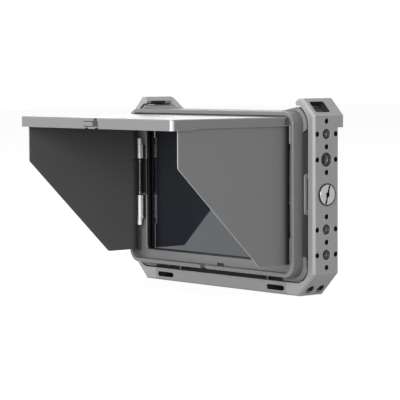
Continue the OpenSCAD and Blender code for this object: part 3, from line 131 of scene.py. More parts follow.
class TreeBuilder:
    """A node tree under construction, with short calls for its nodes."""

    SCALARS = ("DOT_PRODUCT", "LENGTH")

    def __init__(self, tree: Tree) -> None:
        """Takes the tree to build in.

        Args:
            tree: the node tree.
        """
        self.tree = tree

    def node(self, kind: str, **settings: object) -> bpy.types.Node:
        """Adds a node.

        Args:
            kind: the node's type without the ShaderNode prefix.
            settings: attributes to set on it.

        Returns:
            The new node.
        """
        made = self.tree.nodes.new(f"ShaderNode{kind}")
        for key, value in settings.items():
            setattr(made, key, value)
        return made

    def feed(self, value: object, socket: Socket) -> None:
        """Links a socket, or sets a plain value, on an input socket.

        Args:
            value: the socket or the plain value.
            socket: the input socket.
        """
        if isinstance(value, Socket):
            self.tree.links.new(value, socket)
        else:
            socket.default_value = value

    def maths(self, operation: str, *values: object) -> Socket:
        """Adds a Math node.

        Args:
            operation: the operation's Blender name.
            values: numbers or sockets for its inputs, in order.

        Returns:
            Its output socket.
        """
        made = self.node("Math", operation=operation)
        for value, socket in zip(values, made.inputs):
            self.feed(value, socket)
        return made.outputs[0]

    def vector(self, operation: str, *values: object) -> Socket:
        """Adds a Vector Math node.

        Args:
            operation: the operation's Blender name.
            values: vectors or sockets for its inputs, in order.

        Returns:
            The output socket that the operation fills.
        """
        made = self.node("VectorMath", operation=operation)
        for value, socket in zip(values, made.inputs):
            self.feed(value, socket)
        return made.outputs["Value" if operation in self.SCALARS else "Vector"]

    def scaled(self, vector: object, factor: object) -> Socket:
        """Multiplies a vector by a number.

        Args:
            vector: plain vector or socket.
            factor: plain number or socket.

        Returns:
            The output socket.
        """
        made = self.node("VectorMath", operation="SCALE")
        self.feed(vector, made.inputs[0])
        self.feed(factor, made.inputs["Scale"])
        return made.outputs[0]

    def coordinate(self, kind: str) -> Socket:
        """The Object or Normal coordinate of the point that is shaded."""
        return self.node("TexCoord").outputs[kind]

    def parts(self, vector: Socket) -> Outputs:
        """Splits a vector into its parts.

        Args:
            vector: the vector's socket.

        Returns:
            Its X, Y and Z sockets, by name or in order.
        """
        made = self.node("SeparateXYZ")
        self.feed(vector, made.inputs[0])
        return made.outputs

    def fold(self, vector: Socket) -> Socket:
        """Mirrors a vector from the left side over to the right, where X is positive.

        Args:
            vector: the vector's socket.

        Returns:
            The mirrored vector's socket.
        """
        parts = self.parts(vector)
        folded = self.node("CombineXYZ")
        self.feed(self.maths("ABSOLUTE", parts["X"]), folded.inputs["X"])
        for name in "YZ":
            self.feed(parts[name], folded.inputs[name])
        return folded.outputs[0]

    def noise(self, size: Socket, detail: float, roughness: float) -> Socket:
        """Adds noise that is fixed to the object.

        Args:
            size: how large its grains are.
            detail: its number of octaves.
            roughness: how strong the finer octaves are.

        Returns:
            The noise's socket, from 0 to 1.
        """
        made = self.node("TexNoise")
        made.inputs["Detail"].default_value = detail
        made.inputs["Roughness"].default_value = roughness
        self.feed(self.coordinate("Object"), made.inputs["Vector"])
        self.feed(self.maths("DIVIDE", 1.0, size), made.inputs["Scale"])
        return made.outputs["Fac"]

    def bump(self, height: Socket, normal: Socket) -> Socket:
        """Tilts a normal by a height.

        Args:
            height: the height's socket, in metres.
            normal: the socket of the normal to tilt.

        Returns:
            The tilted normal's socket.
        """
        made = self.node("Bump")
        made.inputs["Distance"].default_value = 1.0
        self.feed(height, made.inputs["Height"])
        self.feed(normal, made.inputs["Normal"])
        return made.outputs["Normal"]

    def ramp(self, value: Socket, start: float, end: float,
             curve: str = "SMOOTHSTEP") -> Socket:
        """Turns a value into a share.

        Args:
            value: the value's socket.
            start: the value that gives 0.
            end: the value that gives 1.
            curve: how the share goes from 0 to 1, by Blender's name.

        Returns:
            The share's socket.
        """
        made = self.node("MapRange", interpolation_type=curve)
        self.feed(value, made.inputs["Value"])
        made.inputs["From Min"].default_value = start
        made.inputs["From Max"].default_value = end
        return made.outputs["Result"]


class GroupBuilder(TreeBuilder):
    """A shader node group under construction."""

    def __init__(self, name: str) -> None:
        """Starts an empty group.

        Args:
            name: the group's name in plain words.
        """
        super().__init__(bpy.data.node_groups.new(name, "ShaderNodeTree"))
        self.inlet = self.tree.nodes.new("NodeGroupInput")
        self.outlet = self.tree.nodes.new("NodeGroupOutput")

    def takes(self, **defaults: object) -> list[Socket]:
        """Adds the group's inputs.

        Args:
            defaults: the value of each when nothing is linked, by name, with _ for a space.

        Returns:
            Their sockets inside the group, in order.
        """
        names = [key.replace("_", " ") for key in defaults]
        for name, value in zip(names, defaults.values()):
            kind = "NodeSocketVector" if isinstance(value, tuple) else "NodeSocketFloat"
            socket = self.tree.interface.new_socket(name, in_out="INPUT", socket_type=kind)
            socket.default_value = value
        return [self.inlet.outputs[name] for name in names]

    def gives(self, **sources: Socket) -> Tree:
        """Adds the group's outputs.

        Args:
            sources: the socket that feeds each, by name.

        Returns:
            The finished group.
        """
        for name, source in sources.items():
            kind = "NodeSocketVector" if source.type == "VECTOR" else "NodeSocketFloat"
            self.tree.interface.new_socket(name, in_out="OUTPUT", socket_type=kind)
            self.feed(source, self.outlet.inputs[name])
        return self.tree


class Groups:
    """The shader node groups that the finishes share, each built once.

    Wear and painted highlight on an edge show between EDGE_STARTS and EDGE_FULL, cosines
    between the rounded normal and the face's own.
    """

    EDGE_STARTS = 0.995
    EDGE_FULL = 0.9
    BEVEL_SAMPLES = 6

    def __init__(self) -> None:
        """Builds all the groups."""
        self.relief = self._relief()
        self.smudge = self._smudge()
        self.inside_block = self._inside_block()
        self.facing = self._facing()
        self.rings = self._rings()

    def _relief(self) -> Tree:
        """Rounds sharp edges, and adds a fine blasted grain.

        Returns:
            A group that puts out Normal, an Edge mask and the grain's Speckle.
        """
        group = GroupBuilder("blasted grain and soft edges")
        radius, size, depth = group.takes(Edge_radius=0.3 * MM, Grain_size=0.4 * MM,
                                          Grain_depth=0.01 * MM)
        speckle = group.noise(size, detail=3.0, roughness=0.6)
        soft = group.node("Bevel", samples=self.BEVEL_SAMPLES)
        group.feed(radius, soft.inputs["Radius"])
        face = group.node("NewGeometry").outputs["Normal"]
        agree = group.vector("DOT_PRODUCT", soft.outputs["Normal"], face)
        height = group.maths("MULTIPLY", speckle, depth)
        return group.gives(Normal=group.bump(height, soft.outputs["Normal"]),
                           Edge=group.ramp(agree, self.EDGE_STARTS, self.EDGE_FULL, "LINEAR"),
                           Speckle=speckle)

    @staticmethod
    def _smudge() -> Tree:
        """Slow variation over a face, as handling leaves it.

        Returns:
            A group that puts out a Value from -1 to 1, times its Amount.
        """
        group = GroupBuilder("slow smudges")
        size, amount = group.takes(Size=30 * MM, Amount=0.1)
        noise = group.noise(size, detail=4.0, roughness=0.5)
        doubled = group.maths("MULTIPLY", group.maths("SUBTRACT", noise, 0.5), 2.0)
        return group.gives(Value=group.maths("MULTIPLY", doubled, amount))

    @staticmethod
    def _inside_block() -> Tree:
        """Marks what lies inside a block of space, or inside its mirror image across X.

        Returns:
            A group that puts out a Mask of 0 or 1.
        """
        group = GroupBuilder("inside a block")
        low, high, rounding = group.takes(Low=(0.0, 0.0, 0.0), High=(1.0, 1.0, 1.0), Round=0.0)
        middle = group.scaled(group.vector("ADD", low, high), 0.5)
        half = group.vector("SUBTRACT", high, middle)
        off = group.vector("SUBTRACT", group.fold(group.coordinate("Object")), middle)
        parts = group.parts(group.vector("SUBTRACT", group.vector("ABSOLUTE", off), half))
        near = [group.maths("ADD", parts[name], rounding) for name in "XY"]
        clipped = [group.maths("MAXIMUM", value, 0.0) for value in near]
        squares = [group.maths("MULTIPLY", value, value) for value in clipped]
        corner = group.maths("SQRT", group.maths("ADD", *squares))
        flat = group.maths("MINIMUM", group.maths("MAXIMUM", *near), 0.0)
        edge = group.maths("SUBTRACT", group.maths("ADD", corner, flat), rounding)
        worst = group.maths("MAXIMUM", edge, parts["Z"])
        return group.gives(Mask=group.maths("LESS_THAN", worst, 0.0))

    @staticmethod
    def _facing() -> Tree:
        """Measures how far a face looks along a direction, or along its mirror image across X.

        Returns:
            A group that puts out Along, 1 for a face that looks straight that way.
        """
        group = GroupBuilder("facing a direction")
        [direction] = group.takes(Direction=(1.0, 0.0, 0.0))
        normal = group.fold(group.coordinate("Normal"))
        return group.gives(Along=group.vector("DOT_PRODUCT", normal, direction))

    @staticmethod
    def _rings() -> Tree:
        """Turned rings round an axis along X, and what is sunk below a face across it.

        Returns:
            A group that puts out a Height, and a Sunk mask of 0 or 1.
        """
        group = GroupBuilder("turned rings")
        centre, pitch, depth, reach, skin = group.takes(
            Centre=(0.0, 0.0, 0.0), Pitch=0.2 * MM, Depth=0.004 * MM, Reach=6.7 * MM,
            Skin=0.2 * MM)
        place = group.coordinate("Object")
        away = group.vector("SUBTRACT", place, centre)
        radius = group.vector("LENGTH", group.vector("MULTIPLY", away, (0.0, 1.0, 1.0)))
        turns = group.maths("MULTIPLY", group.maths("DIVIDE", radius, pitch), math.tau)
        out, face = (group.maths("ABSOLUTE", group.parts(point)["X"])
                     for point in (place, centre))
        below = group.maths("LESS_THAN", group.maths("ADD", out, skin), face)
        near = group.maths("LESS_THAN", radius, reach)
        return group.gives(Height=group.maths("MULTIPLY", group.maths("SINE", turns), depth),
                           Sunk=group.maths("MULTIPLY", below, near))


class MaterialBuilder(TreeBuilder):
    """A material under construction, with the shader in place."""

    def __init__(self, name: str) -> None:
        """Starts a material with a Principled shader.

        Args:
            name: the material's name in plain words.
        """
        self.material = bpy.data.materials.new(name)
        self.material.use_nodes = True
        super().__init__(self.material.node_tree)
        self.shader = self.tree.nodes["Principled BSDF"]

    def set(self, **values: object) -> None:
        """Links or sets the shader's inputs.

        Args:
            values: a value or a socket for each input, by name, with _ for a space.
        """
        for key, value in values.items():
            self.feed(value, self.shader.inputs[key.replace("_", " ")])

    def group(self, tree: Tree, **inputs: object) -> Outputs:
        """Places a node group.

        Args:
            tree: the group.
            inputs: values or sockets for its inputs, with _ for a space.

        Returns:
            The outputs of the group's node.
        """
        made = self.node("Group", node_tree=tree)
        for key, value in inputs.items():
            self.feed(value, made.inputs[key.replace("_", " ")])
        return made.outputs

    def mix(self, share: object, first: object, second: object) -> Socket:
        """Mixes two colours.

        Args:
            share: number or socket, 0 for the first and 1 for the second.
            first: colour or socket.
            second: colour or socket.

        Returns:
            The mixed colour's socket.
        """
        made = self.node("Mix", data_type="RGBA")
        self.feed(share, made.inputs[0])
        self.feed(paint(first) if isinstance(first, tuple) else first, made.inputs[6])
        self.feed(paint(second) if isinstance(second, tuple) else second, made.inputs[7])
        return made.outputs[2]


@dataclass(frozen=True)
class Block:
    """A block of space on the right side that counts for both sides.

    Attributes:
        low: its lowest corner, with X measured out from the middle plane.
        high: its highest corner.
        rounding: radius of its upright edges.
        open_face: direction of an outer face that the block doesn't count on.

    A face that looks that way by less than WALL_COSINE is a wall.
    """

    low: Point
    high: Point
    rounding: float = 0.0
    open_face: Point | None = None

    WALL_COSINE = 0.5

    def mask(self, made: MaterialBuilder, groups: Groups) -> Socket:
        """Places the mask of this block in a material.

        Args:
            made: the material.
            groups: the shared node groups.

        Returns:
            The mask's socket.
        """
        inside = made.group(groups.inside_block, Low=self.low, High=self.high,
                            Round=self.rounding)["Mask"]
        if self.open_face is None:
            return inside
        along = made.group(groups.facing, Direction=self.open_face)["Along"]
        wall = made.maths("LESS_THAN", along, self.WALL_COSINE)
        return made.maths("MULTIPLY", inside, wall)


@dataclass(frozen=True)
class Finish:
    """A plain metal or plastic surface with grain, soft edges and slow variation.

    Attributes:
        name: the finish in plain words.
        colour: base colour, linear.
        metallic: how far it shines as metal.
        roughness: middle roughness.
        edge_colour: lighter colour along the edges, partly wear that handling brings out and
            partly painted highlight.
        edge_share: how much of it shows on an edge.
        edge_radius: how far an edge looks rounded.
        grain_size: size of the surface grain.
        grain_depth: its height.
        spread: how far the roughness wanders over a face.
        coat: weight of a clear coat.

    SPECKLE is how far the grain makes the colour lighter and darker.
    """

    name: str
    colour: Colour
    metallic: float = 0.0
    roughness: float = 0.5
    edge_colour: Colour = (0.6, 0.6, 0.6)
    edge_share: float = 0.25
    edge_radius: float = 0.25 * MM
    grain_size: float = 0.35 * MM
    grain_depth: float = 0.004 * MM
    spread: float = 0.06
    coat: float = 0.0

    SMUDGE_SIZE = 40 * MM
    SPECKLE = 0.16

    def material(self, groups: Groups) -> Material:
        """Builds the material.

        Args:
            groups: the shared node groups.

        Returns:
            The material.
        """
        made = MaterialBuilder(self.name)
        relief = made.group(groups.relief, Edge_radius=self.edge_radius,
                            Grain_size=self.grain_size, Grain_depth=self.grain_depth)
        slow = made.group(groups.smudge, Size=self.SMUDGE_SIZE, Amount=self.spread)["Value"]
        made.set(Normal=relief["Normal"], Roughness=made.maths("ADD", slow, self.roughness),
                 Metallic=self.metallic, Coat_Weight=self.coat)
        # Lighter edges: partly wear from handling, partly painted highlight on the chamfers.
        edge_wear_and_highlight = made.maths("MULTIPLY", relief["Edge"], self.edge_share)
        speck = made.maths("MULTIPLY_ADD", relief["Speckle"], self.SPECKLE, 1 - self.SPECKLE / 2)
        colour = made.mix(edge_wear_and_highlight, made.scaled(self.colour, speck), self.edge_colour)
        made.set(Base_Color=self.shade(made, groups, colour))
        return made.material

    def shade(self, made: MaterialBuilder, groups: Groups, colour: Socket) -> Socket:
        """Works on the base colour, which a plain finish leaves as it is.

        Args:
            made: the material.
            groups: the shared node groups.
            colour: the base colour's socket.

        Returns:
            The socket of the final base colour.
        """
        return colour


@dataclass(frozen=True)
class MetalWithPaintedShade(Finish):
    """Machined metal with painted shade in its holes and pockets and on parts that lie in shadow.

    Attributes:
        shade_blocks: blocks that hold the faces that get the painted shade.
        painted_shade_colour: colour of the painted shade.
    """

    shade_blocks: tuple[Block, ...] = ()
    painted_shade_colour: Colour = (0.03, 0.03, 0.03)

    def shade(self, made: MaterialBuilder, groups: Groups, colour: Socket) -> Socket:
        """Darkens the walls of the holes.

        Args:
            made: the material.
            groups: the shared node groups.
            colour: the base colour's socket.

        Returns:
            The socket of the final base colour.
        """
        for shaded_block in self.shade_blocks:
            # Painted shade on the faces inside each block.
            colour = made.mix(shaded_block.mask(made, groups), colour, self.painted_shade_colour)
        return colour


@dataclass(frozen=True)
class LinedSheet(Finish):
    """Sheet metal with a dark lining on its inner side and bright cut edges.

    Attributes:
        lining: colour of the inner side.
        inner: the block that holds the inner side.
        cut_colour: colour of the cut edges.
        cut_axis: the axis across the sheet, where its faces aren't edges.
        corner_highlight_share: how much of the edge colour shows as a painted highlight on the
            front's rounded corners.
        hinge_shade: where along Y the painted shade by the hinge starts, and where it is full.

    A face that looks across the sheet by less than CUT_COSINE is a cut edge, and the painted
    highlight on the corners grows between CORNER_STARTS and CORNER_FULL, cosines to the slanting
    direction.
    """

    lining: Colour = (0.05, 0.05, 0.05)
    inner: Block = Block((0.0, 0.0, 0.0), (0.0, 0.0, 0.0))
    cut_colour: Colour = (0.6, 0.6, 0.6)
    cut_axis: Axis | None = None
    corner_highlight_share: float = 0.0
    hinge_shade: tuple[float, float] | None = None

    CUT_COSINE = 0.6
    CORNER_STARTS = 0.82
    CORNER_FULL = 0.98
    HINGE_SHADE_COLOUR = (0.02, 0.02, 0.02)

    def shade(self, made: MaterialBuilder, groups: Groups, colour: Socket) -> Socket:
        """Lays on the lining, the cut edges, the painted corner highlight and the painted shade
        by the hinge.

        Args:
            made: the material.
            groups: the shared node groups.
            colour: the base colour's socket.

        Returns:
            The socket of the final base colour.
        """
        colour = made.mix(self.inner.mask(made, groups), colour, self.lining)
        if self.cut_axis is not None:
            parts = made.parts(made.coordinate("Normal"))
            across = made.maths("ABSOLUTE", parts[self.cut_axis.value])
            cut = made.maths("LESS_THAN", across, self.CUT_COSINE)
            colour = made.mix(cut, colour, self.cut_colour)
        # Painted highlight on the lid's rounded front corners.
        if self.corner_highlight_share:
            along = made.group(groups.facing, Direction=(SLANT, -SLANT, 0.0))["Along"]
            corner = made.ramp(along, self.CORNER_STARTS, self.CORNER_FULL)
            share = made.maths("MULTIPLY", corner, self.corner_highlight_share)
            colour = made.mix(share, colour, self.edge_colour)
        # Painted shade that darkens the flaps towards their rear edges by the hinge.
        if self.hinge_shade is not None:
            depth = made.parts(made.coordinate("Object"))["Y"]
            colour = made.mix(made.ramp(depth, *self.hinge_shade), colour, self.HINGE_SHADE_COLOUR)
        return colour


@dataclass(frozen=True)
class TurnedSteel(Finish):
    """Steel that was faced on a lathe, with fine rings round its centre.

    Attributes:
        centre: the middle of the outer face, on the axis of the rings, which runs along X.
        slot_shade_colour: painted shade inside the slot.
    """

    centre: Point = (0.0, 0.0, 0.0)
    slot_shade_colour: Colour = (0.03, 0.03, 0.03)

    def shade(self, made: MaterialBuilder, groups: Groups, colour: Socket) -> Socket:
        """Adds the rings to the normal, and paints shade into the slot.

        Args:
            made: the material.
            groups: the shared node groups.
            colour: the base colour's socket.

        Returns:
            The socket of the final base colour.
        """
        rings = made.group(groups.rings, Centre=self.centre)
        relief = made.shader.inputs["Normal"].links[0].from_socket
        made.set(Normal=made.bump(rings["Height"], relief))
        # Painted shade in the sunk slot.
        return made.mix(rings["Sunk"], colour, self.slot_shade_colour)


@dataclass(frozen=True)
class ScreenGlass:
    """The cover glass over the switched-off panel, with its black printed border.

    Attributes:
        name: the finish in plain words.
        panel: colour of the panel behind the glass.
        border: colour of the printed border.
        picture: the block that holds the picture area.
        clear: the block inside the matt black gasket round the glass.
        tint: colour of what the glass mirrors.
        index: refractive index, which sets how strongly the glass mirrors.
        roughness: middle roughness.
        spread: how far the roughness wanders.

    FULL_MIRROR is the specular level at which the index alone sets how the glass mirrors.
    """

    name: str
    panel: Colour
    border: Colour
    picture: Block
    clear: Block
    tint: Colour = (0.9, 0.95, 1.0)
    index: float = 1.95
    roughness: float = 0.04
    spread: float = 0.015

    SMUDGE_SIZE = 25 * MM
    FULL_MIRROR = 0.5

    def material(self, groups: Groups) -> Material:
        """Builds the material.

        Args:
            groups: the shared node groups.

        Returns:
            The material.
        """
        made = MaterialBuilder(self.name)
        slow = made.group(groups.smudge, Size=self.SMUDGE_SIZE, Amount=self.spread)["Value"]
        mirror = made.maths("MULTIPLY", self.clear.mask(made, groups), self.FULL_MIRROR)
        made.set(Base_Color=made.mix(self.picture.mask(made, groups), self.border, self.panel),
                 Roughness=made.maths("ADD", slow, self.roughness), IOR=self.index,
                 Specular_Tint=paint(self.tint), Specular_IOR_Level=mirror)
        return made.material


class Bench:
    """Short calls for the work that every new piece needs."""

    @staticmethod
    def clear() -> None:
        """Leaves edit mode and deselects everything."""
        if bpy.context.object and bpy.context.object.mode != "OBJECT":
            bpy.ops.object.mode_set(mode="OBJECT")
        bpy.ops.object.select_all(action="DESELECT")

    @staticmethod
    def pick(pieces: Iterable[Piece]) -> None:
        """Selects these pieces alone and makes the first one active.

        Args:
            pieces: the pieces.
        """
        Bench.clear()
        chosen = list(pieces)
        for piece in chosen:
            piece.select_set(True)
        bpy.context.view_layer.objects.active = chosen[0]

    @staticmethod
    def settle(piece: Piece) -> None:
        """Puts the piece's place, turn and size into its mesh."""
        Bench.pick([piece])
        bpy.ops.object.transform_apply(location=True, rotation=True, scale=True)

    @staticmethod
    def join(pieces: list[Piece], name: str) -> Piece:
        """Joins pieces into one.

        Args:
            pieces: the pieces, each settled.
            name: the joined piece's name.

        Returns:
            The joined piece.
        """
        Bench.pick(pieces)
        if len(pieces) > 1:
            bpy.ops.object.join()
        joined = bpy.context.object
        joined.name = name
        return joined

    @staticmethod
    def tidy_normals(piece: Piece, weld: float = 0.001 * MM) -> None:
        """Welds doubles and turns the faces outwards.

        Args:
            piece: the piece.
            weld: distance within which points become one.
        """
        Bench.pick([piece])
        bpy.ops.object.mode_set(mode="EDIT")
        bpy.ops.mesh.select_all(action="SELECT")
        bpy.ops.mesh.remove_doubles(threshold=weld)
        bpy.ops.mesh.normals_make_consistent(inside=False)
        bpy.ops.object.mode_set(mode="OBJECT")

    @staticmethod
    def smooth(piece: Piece, angle: float = 40.0) -> None:
        """Shades the piece smooth, with edges sharper than the angle left crisp."""
        Bench.pick([piece])
        bpy.ops.object.shade_smooth_by_angle(angle=math.radians(angle))

    @staticmethod
    def wind(wire: float, start: tuple[float, float], pitch: float, turns: float, steps: int,
             sides: int = 8) -> Piece:
        """Winds a wire round Z into a helix.

        Args:
            wire: radius of the wire.
            start: X and Z of the middle of the wire where it starts.
            pitch: rise of one turn.
            turns: number of turns.
            steps: stretches in one turn.
            sides: number of the wire's sides.

        Returns:
            The helix, open at both ends.
        """
        bpy.ops.mesh.primitive_circle_add(vertices=sides, radius=wire, fill_type="NOTHING",
                                          rotation=(math.pi / 2, 0, 0),
                                          location=(start[0], 0, start[1]))
        piece = bpy.context.object
        Bench.settle(piece)
        screw = piece.modifiers.new("wind", "SCREW")
        screw.axis = "Z"
        screw.angle = math.tau * turns
        screw.screw_offset = pitch * turns
        screw.iterations = 1
        screw.steps = round(steps * turns)
        screw.render_steps = screw.steps
        screw.use_smooth_shade = True
        bpy.ops.object.modifier_apply(modifier=screw.name)
        return piece

    @staticmethod
    def pick_rims(piece: Piece) -> None:
        """Selects the rims of a wire's open ends, in edit mode.

        Args:
            piece: the wire.
        """
        Bench.pick([piece])
        bpy.ops.object.mode_set(mode="EDIT")
        bpy.ops.mesh.select_all(action="DESELECT")
        bpy.ops.mesh.select_mode(type="EDGE")
        bpy.ops.mesh.select_non_manifold()

    @staticmethod
    def cap(piece: Piece) -> None:
        """Closes the open ends of a wound wire.

        Args:
            piece: the wire.
        """
        Bench.pick_rims(piece)
        bpy.ops.mesh.edge_face_add()
        bpy.ops.object.mode_set(mode="OBJECT")

    @staticmethod
    def grow_end(piece: Piece, at_z: float, moves: tuple[Point, ...]) -> None:
        """Extrudes the open end of a wire step by step and closes it.

        Args:
            piece: the wire.
            at_z: height of the middle of the open end.
            moves: the shift of each step, in millimetres.
        """
        Bench.pick_rims(piece)
        mesh = piece.data
        bpy.ops.object.mode_set(mode="OBJECT")
        ends = [(edge, sum((mesh.vertices[v].co.z for v in edge.vertices), 0.0) / 2)
                for edge in mesh.edges if edge.select]
        middle = (min(z for _, z in ends) + max(z for _, z in ends)) / 2
        for edge, height in ends:
            edge.select = (height > middle) == (at_z > middle)
        chosen = {index for edge in mesh.edges if edge.select for index in edge.vertices}
        for vertex in mesh.vertices:
            vertex.select = vertex.index in chosen
        bpy.ops.object.mode_set(mode="EDIT")
        for move in moves:
            shift = tuple(step * MM for step in move)
            bpy.ops.mesh.extrude_region_move(TRANSFORM_OT_translate={"value": shift})
        bpy.ops.mesh.edge_face_add()
        bpy.ops.object.mode_set(mode="OBJECT")


@dataclass
class Dresser:
    """Gives CAD nodes their finishes.

    Attributes:
        groups: the shared node groups.
        made: the materials built so far, by name.
    """

    frame: dict
    groups: Groups
    made: dict[str, Material] = field(default_factory=dict)

    def material(self, finish: Finish | ScreenGlass) -> Material:
        """Builds a finish's material, or returns it if it was built before.

        Args:
            finish: the finish.

        Returns:
            Its material.
        """
        if finish.name not in self.made:
            self.made[finish.name] = finish.material(self.groups)
        return self.made[finish.name]

    def dress(self, finish: Finish | ScreenGlass, *nodes: str) -> None:
        """Puts a finish on CAD nodes.

        Args:
            finish: the finish.
            nodes: the nodes' names.
        """
        for name in nodes:
            piece = self.frame["nodes"][name]
            for place in piece.material_slots:
                place.material = self.material(finish)
            LOG.info("dressed %s in %s", name, finish.name)

    def coat(self, piece: Piece, finish: Finish) -> None:
        """Makes a finish the only material of a new piece."""
        piece.data.materials.clear()
        piece.data.materials.append(self.material(finish))

    def add(self, piece: Piece, finish: Finish, slot: str, body: str = ROOT_BODY) -> None:
        """Puts a finish on a new piece and lets it ride on a body.

        Args:
            piece: the new piece.
            finish: its finish.
            slot: the record's material slot; not used.
            body: the body that it moves with.
        """
        self.coat(piece, finish)
        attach(piece, body)
        LOG.info("added %s on %s", piece.name, body)


# Blocks that get painted shade: the cage's bores, hook windows and screw holes, the rail's slots,
# the hinge brackets and spring legs in the hood's shadow, and the housing round the screen.
BORES = Block((0.0955, -0.0111, 0.0165), (0.10175, 0.0111, 0.1275))
HOOK_WINDOWS = Block((0.078, -0.0081, 0.1262), (0.1005, 0.0061, 0.1388),
                     open_face=(SLANT, 0.0, SLANT))
RAIL_SCREW_HOLES = Block((0.080, -0.0112, 0.0005), (0.1015, 0.0112, 0.0105),
                         open_face=(SLANT, 0.0, -SLANT))
RAIL_SLOTS = Block((0.0, -0.0118, 0.0012), (0.0735, 0.0118, 0.0082))
CAGE_METAL = MetalWithPaintedShade("blasted cage aluminium", (0.33, 0.33, 0.332), metallic=0.2,
                           roughness=0.42, edge_colour=(0.85, 0.85, 0.84), edge_share=0.7,
                           edge_radius=0.35 * MM, shade_blocks=(BORES, HOOK_WINDOWS, RAIL_SCREW_HOLES))
RAIL_METAL = MetalWithPaintedShade("blasted rail aluminium", (0.25, 0.25, 0.252), metallic=0.2,
                           roughness=0.42, edge_colour=(0.8, 0.8, 0.79), edge_share=0.6,
                           edge_radius=0.35 * MM, shade_blocks=(RAIL_SLOTS,))
# The thread ridges are cage aluminium, made darker as painted shade inside the holes.
SHADED_THREAD_METAL = Finish("thread ridges in painted shade", (0.2, 0.2, 0.2), metallic=0.4, roughness=0.35,
                      edge_colour=(0.4, 0.4, 0.4), edge_radius=0.1 * MM)
HINGE_BACKS = Block((0.0848, -0.026, 0.02), (0.089, -0.012, 0.13))
HINGE_LEAVES = Block((0.080, -0.0172, 0.02), (0.087, -0.0140, 0.13))
BRIGHT_STEEL = MetalWithPaintedShade("bright hinge steel", (0.85, 0.85, 0.84), metallic=0.2,
                             roughness=0.42, grain_depth=0.002 * MM, edge_share=0.2,
                             edge_radius=0.12 * MM, shade_blocks=(HINGE_BACKS, HINGE_LEAVES),
                             painted_shade_colour=(0.02, 0.02, 0.02))
SPRING_LEGS = Block((0.078, -0.030, 0.06), (0.089, -0.0206, 0.097))
SPRING_WIRE = MetalWithPaintedShade("spring wire", (0.4, 0.4, 0.4), metallic=0.9, roughness=0.25,
                            edge_share=0.0, edge_radius=0.05 * MM, shade_blocks=(SPRING_LEGS,),
                            painted_shade_colour=(0.004, 0.004, 0.004))
DARK_STEEL = Finish("oiled steel", (0.09, 0.09, 0.092), metallic=0.9, roughness=0.22,
                    edge_colour=(0.3, 0.3, 0.3), edge_radius=0.1 * MM)
SCREEN_WELL = Block((0.0, -0.0142, 0.0), (0.0885, -0.0105, 0.14))
HOUSING_METAL = MetalWithPaintedShade("dark housing", (0.12, 0.12, 0.122), metallic=0.2, roughness=0.45,
                              edge_colour=(0.3, 0.3, 0.3), grain_depth=0.008 * MM,
                              shade_blocks=(SCREEN_WELL,), painted_shade_colour=(0.01, 0.01, 0.01))
PANEL_PLASTIC = Finish("matt side panel", (0.1, 0.1, 0.101), roughness=0.5,
                       edge_colour=(0.14, 0.14, 0.14), grain_depth=0.008 * MM)
BLOCK_METAL = Finish("grey thread block", (0.42, 0.42, 0.422), metallic=0.2, roughness=0.45,
                     edge_colour=(0.5, 0.5, 0.5))
GREY_RUBBER = Finish("grey bumper rubber", (0.18, 0.18, 0.182), roughness=0.6,
                     edge_colour=(0.26, 0.26, 0.26), grain_depth=0.01 * MM)
BLACK_RUBBER = Finish("black rubber", (0.012, 0.012, 0.012), roughness=0.7,
                      edge_colour=(0.03, 0.03, 0.03), grain_depth=0.012 * MM)
BLACK_PLASTIC = Finish("black moulding", (0.014, 0.014, 0.015), roughness=0.42,
                       edge_colour=(0.06, 0.06, 0.06), grain_depth=0.006 * MM)
WHITE_PLASTIC = Finish("white tray", (0.75, 0.75, 0.74), roughness=0.5)
BOARD = Finish("green solder mask", (0.01, 0.09, 0.04), roughness=0.35, coat=0.4)
BARE_METAL = Finish("bare fins", (0.5, 0.5, 0.5), metallic=0.9, roughness=0.38)
SOCKET_METAL = Finish("nickel sockets", (0.45, 0.44, 0.42), metallic=1.0, roughness=0.25,
                      edge_radius=0.1 * MM)
GOLD = Finish("gold contacts", (0.7, 0.48, 0.18), metallic=1.0, roughness=0.25)


@dataclass
class Thread:
    """A screw thread's ridge inside one of the frame's threaded holes.

    Attributes:
        centre: a point at the middle of the hole.
        axis: the hole's axis.
        radius: the hole's wall radius.
        length: the hole's length.

    PITCHES holds the pitches of 1/4-20 and 3/8-16 threads, by the radius in tenths of a
    millimetre. RIDGE is the ridge's height as a share of the pitch.
    """

    centre: Point
    axis: Axis
    radius: float
    length: float

    PITCHES = {26: 25.4 / 20 * MM, 40: 25.4 / 16 * MM}
    RIDGE = 0.3
    STEPS = 28

    def build(self) -> Piece:
        """Winds the ridge and turns it into the hole.

        Returns:
            The ridge as a settled piece.
        """
        pitch = self.PITCHES[round(self.radius / MM * 10)]
        turns = self.length / pitch - 1.0
        ridge = Bench.wind(self.RIDGE * pitch, (self.radius, -turns * pitch / 2), pitch, turns,
                           self.STEPS, sides=4)
        Bench.cap(ridge)
        if self.axis is Axis.X:
            ridge.rotation_euler = (0, math.pi / 2, 0)
        ridge.location = self.centre
        Bench.settle(ridge)
        Bench.tidy_normals(ridge)
        return ridge


